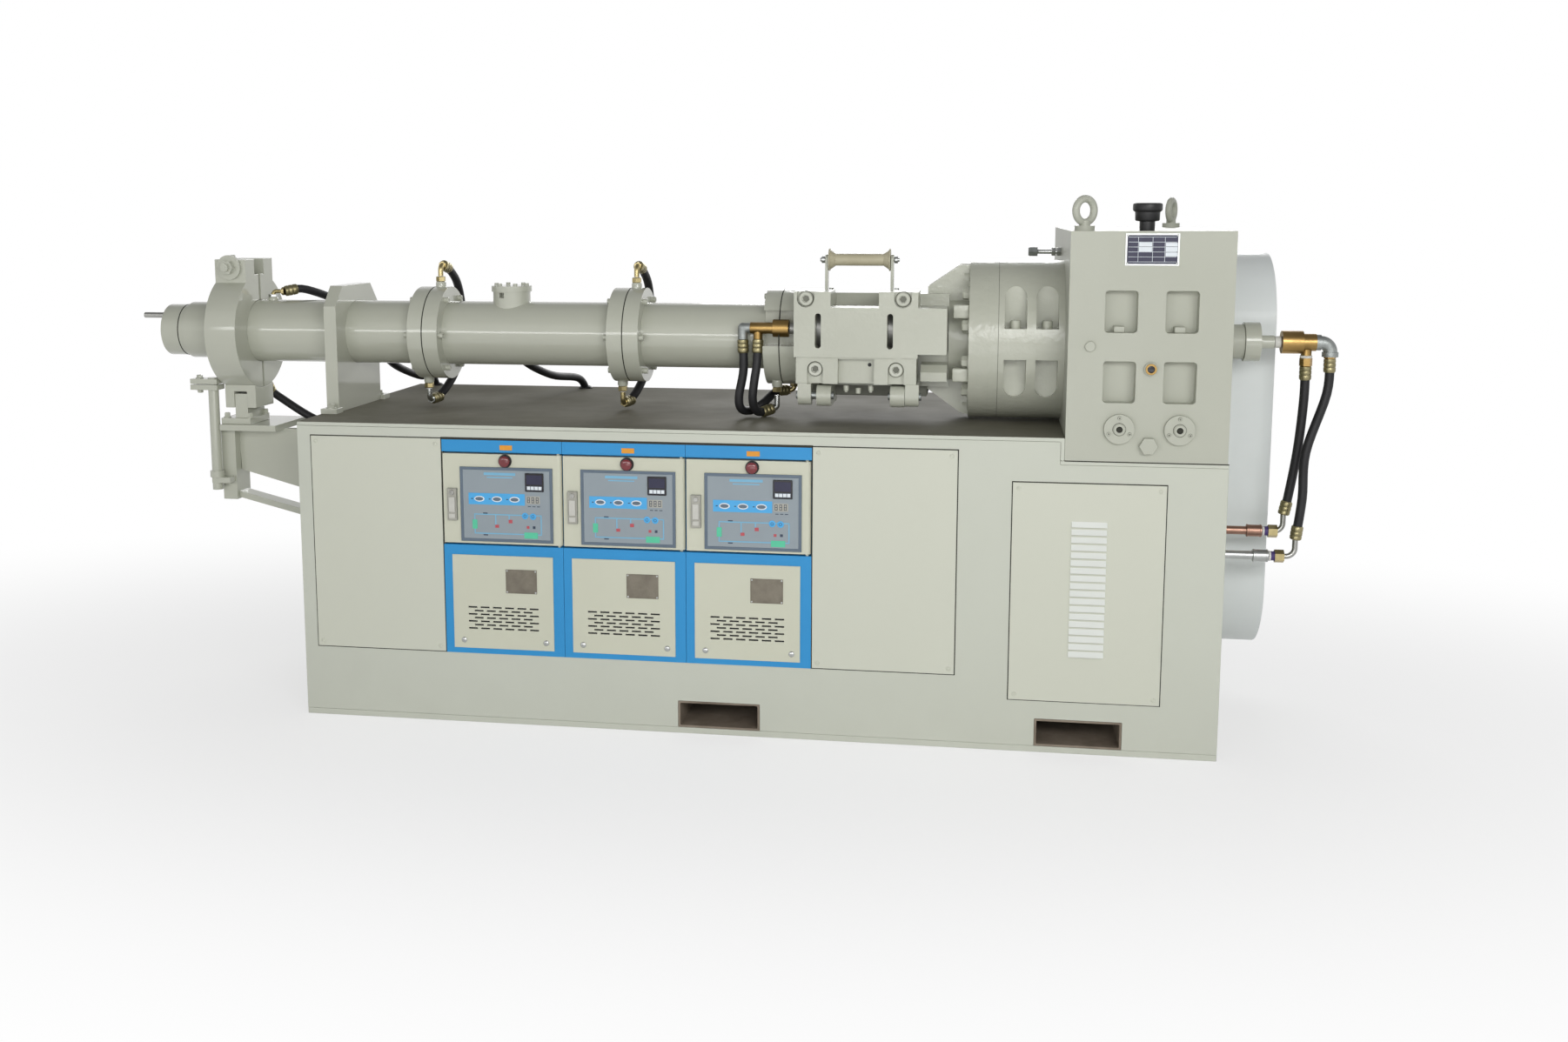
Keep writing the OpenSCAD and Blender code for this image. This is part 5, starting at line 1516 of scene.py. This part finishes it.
@dataclass
class DriveDetails:
    """Small parts of the drum and the gearbox."""

    at: Station
    pocket_y: float = 0.174
    stud: Tuple[float, float] = (0.031, 0.224)
    plugs_x: Tuple[float, float] = (0.125, 0.265)
    plug_drop: float = 0.185
    plug_circle: float = 0.027

    def drum(self) -> None:
        """Bolts in the upper pockets and the stud over the drum."""
        y, z, gear = self.at.axis_y, self.at.axis_z, self.at.gear
        places = [((gear - dx, y + side * self.pocket_y, z + 0.041), Axis.Z, 0.0)
                  for dx in (0.121, 0.043) for side in (-1, 1)]
        bolts = Bench.repeat("drum_pocket_bolts", Fasteners.socket(0.0125, 0.0200), places)
        Bench.dress(bolts, "barrel_paint", Paint.CASTING)
        rows = [("stud_rod", [(0, 0.0062), (0.066, 0.0062), (0.068, 0.0055)], 16, Paint.CHROME),
                ("stud_head", [(0.062, 0.0135), (0.082, 0.0135), (0.086, 0.0118)], 6, Paint.GALVANISED)]
        rows += [("stud_nut", [(a, 0.0125), (a + 0.009, 0.0125), (a + 0.011, 0.0108)], 6, Paint.ZINC)
                 for a in (0.001, 0.0145)]
        place = (gear, self.stud[0], z + self.stud[1])
        made = [Bench.stand(name, steps, sides, place, Axis.MINUS_X, finish) for name, steps, sides,
                finish in rows]
        Bench.dress(Bench.join("gearbox_stud", made), "bright_steel")

    def plate(self) -> None:
        """The bare plate on the gearbox: a pale rim, a dark field and empty fields."""
        gear, y, top = self.at.gear, self.at.front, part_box("gearbox")[1][2]
        x0, x1, z0, z1 = gear + 0.126, gear + 0.250, top - 0.081, top - 0.005
        piece = Bench.paint(Bench.block("gearbox_plate", (x0, y - 0.0018, z0), (x1, y + 0.0004, z1)),
                            Paint.ZINC)
        Bench.recess(piece, 0.0045, 0.0005, Paint.NAVY)
        made = [Bench.round_edges(piece, 0.0004, 1)]
        for left, right, up, down in PLATE_FIELDS:
            low, high = (x0 + left, y - 0.0017, z1 - down), (x0 + right, y - 0.0010, z1 - up)
            made.append(Bench.slab("field", low, high, 0.0002, 1, Paint.CHALK))
        spots = Bench.corners((x0, x1, z0, z1), 0.005)
        made.append(Bench.rivets(spots, y - 0.0016, 0.0026, 0.0016))
        Bench.dress(Bench.join("gearbox_plate", made), "bright_steel")

    def plugs(self) -> None:
        """Screws and centres of the two flange plugs, with painted shade in each centre hole and round each
        boss's foot.
        """
        y, z = self.at.front - 0.0122, self.at.axis_z - self.plug_drop
        middles = [self.at.gear + dx for dx in self.plugs_x]
        screws: List[Place] = []
        for x in middles:
            for a in (math.radians(90), math.radians(205), math.radians(335)):
                place = (x + self.plug_circle * math.cos(a), y + 0.0002, z + self.plug_circle * math.sin(a))
                screws.append((place, Axis.MINUS_Y, 0.2))
        made = [Bench.stand("boss", PLUG_BOSS, 24, (x, y, z), Axis.MINUS_Y, Paint.GEARBOX) for x in middles]
        heads = Fasteners.socket_set("plug_screws", 0.0045, 0.0030, screws, Paint.GEARBOX)
        Bench.dress(heads, "base_paint")
        # Painted shade: a dark disc for the centre hole and a dark ring round the boss's foot
        hole = Bench.turned("hole", [(0, 0.0076), (0.0030, 0.0076), (0.0034, 0.0070)], 4)
        foot = Bench.turned("foot", [(-0.0006, 0.0158), (0.0006, 0.0158), (0.0009, 0.0152)], 24)
        spots = [((x, y, z), Axis.MINUS_Y, 0.3) for x in middles]
        made += [Bench.paint(Bench.repeat("dark", part, spots), Paint.SEAM_SHADOW) for part in (hole, foot)]
        Bench.dress(Bench.join("plug_centres", made), "base_paint")

    def windows(self) -> None:
        """The sight glass and the lugs in the two windows."""
        gear, y, z = self.at.gear, self.at.front, self.at.axis_z
        place = (gear + 0.194, y, z - 0.040)
        rows = [("sight_rim", SIGHT_RIM, 6, Paint.BRASS), ("sight_ring", SIGHT_RING, 28, Paint.BRASS),
                ("sight_lens", SIGHT_LENS, 24, Paint.SCREEN_AND_SHADE)]
        made = [Bench.stand(name, steps, sides, place, Axis.MINUS_Y, finish, 35)
                for name, steps, sides, finish in rows]
        Bench.dress(Bench.join("gearbox_sight_glass", made), "brass_fitting")
        lugs = []
        for x in (gear + 0.119, gear + 0.259):
            low, high = (x - 0.013, y + 0.008, z + 0.0448), (x + 0.013, y + 0.0362, z + 0.060)
            lugs.append(Bench.smooth(Bench.slab("lug", low, high, 0.003, 3, Paint.GEARBOX), 40))
        Bench.dress(Bench.join("gearbox_window_lugs", lugs), "base_paint")

    def breather(self) -> None:
        """The moulded breather cap with its flared rim, in place of the plain one."""
        low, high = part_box("breather_cap")
        place = ((low[0] + high[0]) / 2, (low[1] + high[1]) / 2, low[2])
        cup = Bench.stand("breather_cap_moulded", BREATHER, 48, place, Axis.Z, Paint.BLACK_AND_SHADE, 35)
        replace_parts(Bench.dress(cup, "black_plastic"), "breather_cap")

    def build(self) -> None:
        """Makes all small drive parts."""
        self.drum()
        self.plate()
        self.plugs()
        self.windows()
        self.breather()


# Water


@dataclass
class WaterDetails:
    """Tape, seals and thread at the drive end's water joint."""

    at: Station
    soft: float = 0.0008

    def ring(self, name: str, place: Point, radius: float, wide: float, finish: Finish,
             body: Body = Body.FRAME,
             axis: Axis = Axis.X) -> None:
        """A soft-edged ring round a pipe or thread.

        Args:
            name: the piece's name.
            place: the middle of its first side.
            radius: its radius in metres.
            wide: its width.
            finish: its surface.
            body: the body it moves with.
            axis: the pipe's way.
        """
        e = self.soft
        steps = [(0, radius - e), (e, radius), (wide - e, radius), (wide, radius - e)]
        Bench.dress(Bench.stand(name, steps, 24, place, axis, finish, 40), "brass_fitting", body=body)

    def build(self) -> None:
        """Makes the rings."""
        x, y, z = self.at.union, self.at.axis_y, self.at.axis_z
        self.ring("union_tail_tape", (x - 0.0165, y, z), 0.0150, 0.0150, Paint.TAPE, Body.SCREW)
        self.ring("union_elbow_tape", (x + 0.0850, y, z), 0.0165, 0.0055, Paint.TAPE)
        self.ring("union_port_tape", (x + 0.062, y, z - 0.0400), 0.0150, 0.0070, Paint.TAPE, axis=Axis.Z)
        pipes = ((0.107, y + 0.020, z - 0.495, Paint.COPPER), (0.119, y - 0.020, z - 0.552, Paint.ZINC))
        for i, (length, py, pz, metal) in enumerate(pipes, start=1):
            start = self.at.right + length
            self.ring(f"pipe_{i}_rim", (start - 0.003, py, pz), 0.0165, 0.005, metal)
            self.ring(f"pipe_{i}_rim_end", (start + 0.030, py, pz), 0.0165, 0.005, metal)
            self.ring(f"pipe_{i}_tape", (start + 0.036, py, pz), 0.0128, 0.006, Paint.TAPE)


@dataclass(frozen=True)
class Fitting:
    """One screwed hose fitting: a collar, a nut, a tube that may bend, and the nut at its end."""

    foot: Point
    rise: Point
    reach: float
    arm: Point = (0.0, 0.0, 0.0)
    arm_long: float = 0.0
    nut: Finish = Paint.OLIVE
    tube: Finish = Paint.OLIVE
    bore: float = 0.0072

    def line(self, steps: int = 8) -> List[Vector]:
        """The tube's centre line, with an arc at the bend."""
        foot, rise, arm = Vector(self.foot), Vector(self.rise), Vector(self.arm)
        corner = foot + rise * self.reach
        start = foot + rise * 0.5 * self.reach
        if self.arm_long == 0:
            return [start, corner]
        bend = min(0.014, 0.45 * self.reach, 0.8 * self.arm_long)
        centre = corner - rise * bend + arm * bend
        out = [start]
        for k in range(steps + 1):
            t = 0.5 * math.pi * k / steps
            out.append(centre - arm * bend * math.cos(t) + rise * bend * math.sin(t))
        return out + [corner + arm * self.arm_long]

    def build(self) -> List[Piece]:
        """Makes the painted parts of the fitting."""
        points = self.line()
        foot, rise = Vector(self.foot), Vector(self.rise)
        heading = (points[-1] - points[-2]).normalized()
        step = min(0.014, 0.32 * self.reach)
        collar = [(-0.004, 0.0140), (0.7 * step, 0.0140), (step, 0.0122)]
        nut = [(step, 0.0118), (1.1 * step, 0.0130), (1.9 * step, 0.0130), (2 * step, 0.0112)]
        end = [(-0.0085, 0.0104), (-0.0075, 0.0114), (-0.0010, 0.0114), (0, 0.0104)]
        made: List[Piece] = []
        for steps, sides, place, way, angle, finish in ((collar, 24, foot, rise, 40, Paint.BARREL),
                                                        (nut, 6, foot, rise, 30, self.nut),
                                                        (end, 6, points[-1], heading, 30, self.tube)):
            piece = Bench.along(Bench.turned("fitting", steps, sides), place, way)
            made.append(Bench.paint(Bench.smooth(piece, angle), finish))
        tube = Bench.meshed(Bench.tube("tube", points, self.bore, 4))
        made.append(Bench.paint(Bench.smooth(tube, 40), self.tube))
        return made


@dataclass
class WaterFittings:
    """The screwed fittings of the barrel's hoses, in place of the plain ones."""

    at: Station
    flange: float = FLANGE_R
    barrel: float = BARREL_R
    clamp: float = CLAMP_R

    def rows(self) -> List[Fitting]:
        """Every fitting, where part.scad has it."""
        ya, za, head = self.at.axis_y, self.at.axis_z, self.at.head
        seam1, seam2, seam3 = self.at.seams
        up, down, back, left, right = (0, 0, 1), (0, 0, -1), (0, 1, 0), (-1, 0, 0), (1, 0, 0)
        p = Paint
        made: List[Fitting] = []
        for x, low_tube in ((seam1, p.CHROME), (seam2, p.OLIVE)):
            made.append(Fitting((x + 0.014, ya, za + self.flange), up, 0.058, back, 0.022))
            made.append(Fitting((x - 0.028, ya, za - self.flange), down, 0.062, back, 0.022, tube=low_tube))
        for x, y, drop, arm_end, tube in ((-0.014, -0.050, 0.062, -0.026, p.CHROME),
                                          (0.021, 0.040, 0.022, 0.002, p.OLIVE)):
            foot = za - math.sqrt(self.flange ** 2 - y ** 2)
            reach = foot - (za - self.flange - drop)
            made.append(Fitting((seam3 + x, ya + y, foot), down, reach, left, x - arm_end, tube=tube))
        made.append(Fitting((head + 0.085, ya, za + self.barrel), up, 0.024, right, 0.035, nut=p.ZINC,
                            bore=0.0058))
        stub = (0.0, math.sin(math.radians(150)), math.cos(math.radians(150)))
        made.append(Fitting((head + 0.010, ya + self.clamp * stub[1], za + self.clamp * stub[2]), stub,
                            0.026))
        made.append(Fitting((seam1 + 0.160, ya + self.barrel, za), back, 0.034))
        return made

    def build(self) -> None:
        """Makes the fittings as one piece."""
        parts = [part for row in self.rows() for part in row.build()]
        piece = Bench.dress(Bench.join("water_fittings_screwed", parts), "brass_fitting")
        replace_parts(piece, "water_fittings")


# Studio


@dataclass
class Studio:
    """Camera at the picture's angle, pale floor and soft light."""

    eye: Point = (0.5994, -4.2122, 1.3343)
    yaw: float = 9.358
    pitch: float = 7.974
    roll: float = -0.088
    lens: float = 35.472
    shift: Tuple[float, float] = (0.0330, -0.0601)

    def camera(self) -> None:
        """The pinhole camera fitted to the picture."""
        data = bpy.data.cameras.new("picture_camera")
        data.sensor_fit = "HORIZONTAL"
        data.sensor_width = 36.0
        data.lens = self.lens
        data.shift_x, data.shift_y = self.shift
        data.clip_end = 60.0
        cam = bpy.data.objects.new("picture_camera", data)
        cam.location = self.eye
        turn = Matrix.Rotation(math.radians(self.yaw), 4,
                               "Z") @ Matrix.Rotation(math.radians(90 - self.pitch), 4, "X")
        cam.rotation_euler = (turn @ Matrix.Rotation(math.radians(self.roll), 4, "Z")).to_euler()
        bpy.context.scene.collection.objects.link(cam)
        bpy.context.scene.camera = cam

    def floor(self) -> None:
        """A pale floor that fades into the white backdrop away from the machine."""
        Bench.clear()
        bpy.ops.mesh.primitive_plane_add(size=1, location=(0, 0, -0.0005))
        piece = bpy.context.object
        piece.name = "studio_floor"
        piece.scale = (60, 60, 1)
        Bench.settle(piece)
        mat = bpy.data.materials.new("studio_floor_white")
        mat.use_nodes = True
        nodes, graph = mat.node_tree.nodes, Graph(mat.node_tree)
        shader = nodes["Principled BSDF"]
        graph.feed(shader, {"Base Color": (0.86, 0.86, 0.86, 1), "Roughness": 0.9})
        squeeze = graph.add("Mapping", {"Vector": graph.place("Object"), "Scale": (0.6, 1.0, 1.0)}).outputs[0]
        reach = graph.add("VectorMath", {0: squeeze}, operation="LENGTH").outputs["Value"]
        fade = graph.ramp(reach, {"From Min": 0.75, "From Max": 2.4, "To Min": 0.62},
                          interpolation_type="SMOOTHSTEP")
        share = graph.math("MULTIPLY", fade, self.shown(graph))
        white = graph.add("Emission", {}).outputs[0]
        mix = graph.add("MixShader", {0: share, 1: shader.outputs[0], 2: white})
        graph.feed(nodes["Material Output"], {"Surface": mix.outputs[0]})
        piece.data.materials.append(mat)

    @staticmethod
    def shown(graph: Graph) -> Socket:
        """A socket that is 1 for rays that show the background: straight, mirrored or through glass."""
        path = graph.add("LightPath", {})
        seen = path.outputs["Is Camera Ray"]
        for label in ("Is Glossy Ray", "Is Transmission Ray"):
            seen = graph.math("MAXIMUM", seen, path.outputs[label])
        return seen

    def lamp(self, name: str, place: Point, aim: Point, size: Tuple[float, float], watts: float) -> None:
        """One soft area lamp.

        Args:
            name: the lamp's name.
            place: where it hangs.
            aim: the point it shines at.
            size: its width and height.
            watts: its power.
        """
        data = bpy.data.lights.new(name, "AREA")
        data.shape = "RECTANGLE"
        data.size, data.size_y = size
        data.energy = watts
        lamp = bpy.data.objects.new(name, data)
        lamp.location = place
        lamp.rotation_euler = (Vector(aim) - Vector(place)).to_track_quat("-Z", "Y").to_euler()
        bpy.context.scene.collection.objects.link(lamp)

    def light(self) -> None:
        """Soft lamps and a pale world."""
        self.lamp("key", (1.9, -4.6, 2.3), (0.2, -0.3, 0.8), (3.0, 1.0), 88)
        self.lamp("strip", (-1.2, -4.5, 1.5), (-0.2, -0.1, 0.9), (4.6, 0.4), 40)
        self.lamp("low", (0.6, -3.9, 0.35), (0.2, -0.1, 0.9), (3.0, 0.5), 11)
        self.lamp("back", (0.5, 4.6, 2.6), (0, 0, 0.8), (3.2, 1.2), 90)
        world = bpy.data.worlds.new("studio_world")
        bpy.context.scene.world = world
        world.use_nodes = True
        graph = Graph(world.node_tree)
        height = graph.add("SeparateXYZ", {0: graph.place("Generated")}).outputs["Z"]
        horizon = graph.ramp(height, {"From Min": 0.45, "From Max": 0.75, "To Min": 1.0, "To Max": 0.0},
                             interpolation_type="SMOOTHSTEP")
        show = graph.math("MULTIPLY", horizon, self.shown(graph))
        level = graph.ramp(show, {"To Min": 0.3, "To Max": 1.0})
        graph.feed(world.node_tree.nodes["Background"], {"Color": (1, 1, 1, 1), "Strength": level})
        bpy.context.scene.view_settings.view_transform = "Standard"

    def build(self) -> None:
        """Sets up camera, floor and light."""
        self.camera()
        self.floor()
        self.light()


# CAD nodes that keep their shape: finish, break of the edges in metres, nodes, and the body if not the frame
SKINS: List[Tuple[object, ...]] = [
    (Paint.BASE, 0.002, ("base_floor",)),
    (Paint.BASE, 0.0015, ("base_front_wall", "base_rear_wall", "base_end_walls")),
    (Paint.DECK, 0.002, ("deck_plate",)),
    (Paint.BASE, 0.002, ("gearbox_seat",)),
    (Paint.POCKET, 0.002, ("fork_pockets",)),
    (Paint.PANEL, 0.001, ("front_cover_panels", "rear_cover_panels")),
    (Paint.PANEL, 0.0, ("louvre_panel",)),
    (Paint.UNIT_BLUE, 0.0012, ("unit_cabinets",)),
    (Paint.UNIT_CREAM, 0.0, ("unit_lower_panels",)),
    (Paint.UNIT_CREAM, 0.0, ("unit_door_1",), Body.DOOR_1),
    (Paint.UNIT_CREAM, 0.0, ("unit_door_2",), Body.DOOR_2),
    (Paint.UNIT_CREAM, 0.0, ("unit_door_3",), Body.DOOR_3),
    (Paint.BARREL, 0.003, ("barrel_front", "barrel_middle", "barrel_rear")),
    (Paint.BARREL, 0.002, ("vent_plug",)),
    (Paint.BARREL, 0.0025, ("barrel_support",)),
    (Paint.BARREL, 0.004, ("die_nose",)),
    (Paint.STEEL, 0.002, ("core_rod",)),
    (Paint.BARREL, 0.004, ("clamp_front_half", "clamp_rear_half")),
    (Paint.BARREL, 0.001, ("clamp_bolt",)),
    (Paint.BARREL, 0.002, ("head_foot", "head_bracket", "swing_post")),
    (Paint.CASTING, 0.003, ("feed_box",)),
    (Paint.CASTING, 0.003, ("feed_housing",), Body.HOUSING),
    (Paint.GALVANISED, 0.0015, ("feed_hinge_pins",)),
    (Paint.ROLLER, 0.002, ("feed_roller",), Body.ROLLER),
    (Paint.BRASS, 0.0012, ("feed_union",), Body.HOUSING),
    (Paint.BARREL, 0.001, ("guide_bracket",)),
    (Paint.NYLON, 0.0012, ("guide_roller",), Body.GUIDE),
    (Paint.WORN, 0.0, ("feed_screw",), Body.SCREW),
    (Paint.BARREL, 0.0004, ("drive_shaft",), Body.SCREW),
    (Paint.CASTING, 0.004, ("bearing_drum",)),
    (Paint.GEARBOX, 0.005, ("gearbox",)),
    (Paint.GEARBOX, 0.001, ("eye_bolts",)),
    (Paint.GEARBOX, 0.0015, ("gearbox_plugs",)),
    (Paint.GUARD, 0.004, ("belt_guard",)),
    (Paint.BRASS, 0.0015, ("screw_union",)),
    (Paint.COPPER, 0.001, ("cooling_pipes",)),
]


@dataclass
class Skins:
    """CAD nodes that keep their shape and get broken edges and a finish."""

    at: Station
    bare_shaft: float = 0.031
    slim: float = 0.985

    def pipe_zones(self) -> List[Zone]:
        """The finishes along the two cooling pipes."""
        y, ends = self.at.axis_y, (self.at.right + 0.107, self.at.right + 0.119)

        def past(c: Vector) -> float:
            """How far a point is past the end of its pipe."""
            return c.x - (ends[0] if c.y > y else ends[1])

        return [(lambda c: c.y <= y, Paint.ZINC), (lambda c: past(c) > 0.0352, Paint.PURPLE),
                (lambda c: past(c) > 0.0515, Paint.OLIVE), (lambda c: past(c) > 0.0745, Paint.STEEL)]

    def zones(self, node: str) -> List[Zone]:
        """The parts of a node that have another finish than the rest."""
        z, union, front = self.at.axis_z, self.at.union, self.at.front
        low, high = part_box(node)
        if node == "screw_union":
            return [(lambda c: c.x > union + 0.083, Paint.GALVANISED),
                    (lambda c: c.x > union + 0.1 and c.z < z - 0.0361, Paint.BRASS)]
        if node == "cooling_pipes":
            return self.pipe_zones()
        if node.startswith("unit_door"):
            face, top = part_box("unit_cabinets")[0][1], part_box("unit_cabinets")[1][2]
            return [(lambda c: c.y < face - 0.003 and c.z > top - 0.070, Paint.LENS),
                    (lambda c: c.y < face - 0.0021 and c.z < top - 0.080, Paint.GALVANISED)]
        if node == "guide_roller":
            return [(lambda c: c.x < low[0] + 0.0225 or c.x > high[0] - 0.0225, Paint.ZINC)]
        if node == "deck_plate":
            return [(lambda c: c.y < front + 0.0005, Paint.BASE)]
        if node == "louvre_panel":
            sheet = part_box("front_cover_panels")[0][1] - 0.0003
            # Painted light: all slat faces in front of the sheet take the paler slat paint
            return [(lambda c: c.y < sheet, Paint.SLAT_LIT)]
        if node == "feed_union":
            return [(lambda c: c.x < high[0] - 0.1015, Paint.GALVANISED)]
        return []

    def slim_shaft(self, shaft: Piece) -> None:
        """Takes the shaft a hair off its bores, so that it turns free."""
        y, z = self.at.axis_y, self.at.axis_z
        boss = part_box("gearbox")[1][0]
        Bench.faces(shaft, lambda c, normal: c.x < boss and math.hypot(c.y - y, c.z - z) < self.bare_shaft)
        bpy.ops.transform.resize(value=(1, self.slim, self.slim), center_override=(0, y, z))
        bpy.ops.object.mode_set(mode="OBJECT")

    def build(self) -> None:
        """Makes every skin."""
        made = {}
        for finish, width, nodes, *body in SKINS:
            for node in nodes:
                made[node] = soften(node, finish, body[0] if body else Body.FRAME, width, self.zones(node))
        self.slim_shaft(made["drive_shaft"])


def main() -> None:
    """Builds the dressed machine in order."""
    logging.basicConfig(level=logging.INFO, format="%(message)s")
    at = Station().read()
    Studio().build()
    HoseSet(at).build()
    Skins(at).build()
    CabinetScrews().build()
    ShadowGaps(at).build()
    for index, body in enumerate((Body.DOOR_1, Body.DOOR_2, Body.DOOR_3)):
        UnitFront(index, body).build()
    BarrelFasteners(at).build()
    FeedFasteners(at).build()
    DriveDetails(at).build()
    WaterDetails(at).build()
    WaterFittings(at).build()


if __name__ == "__main__":
    main()
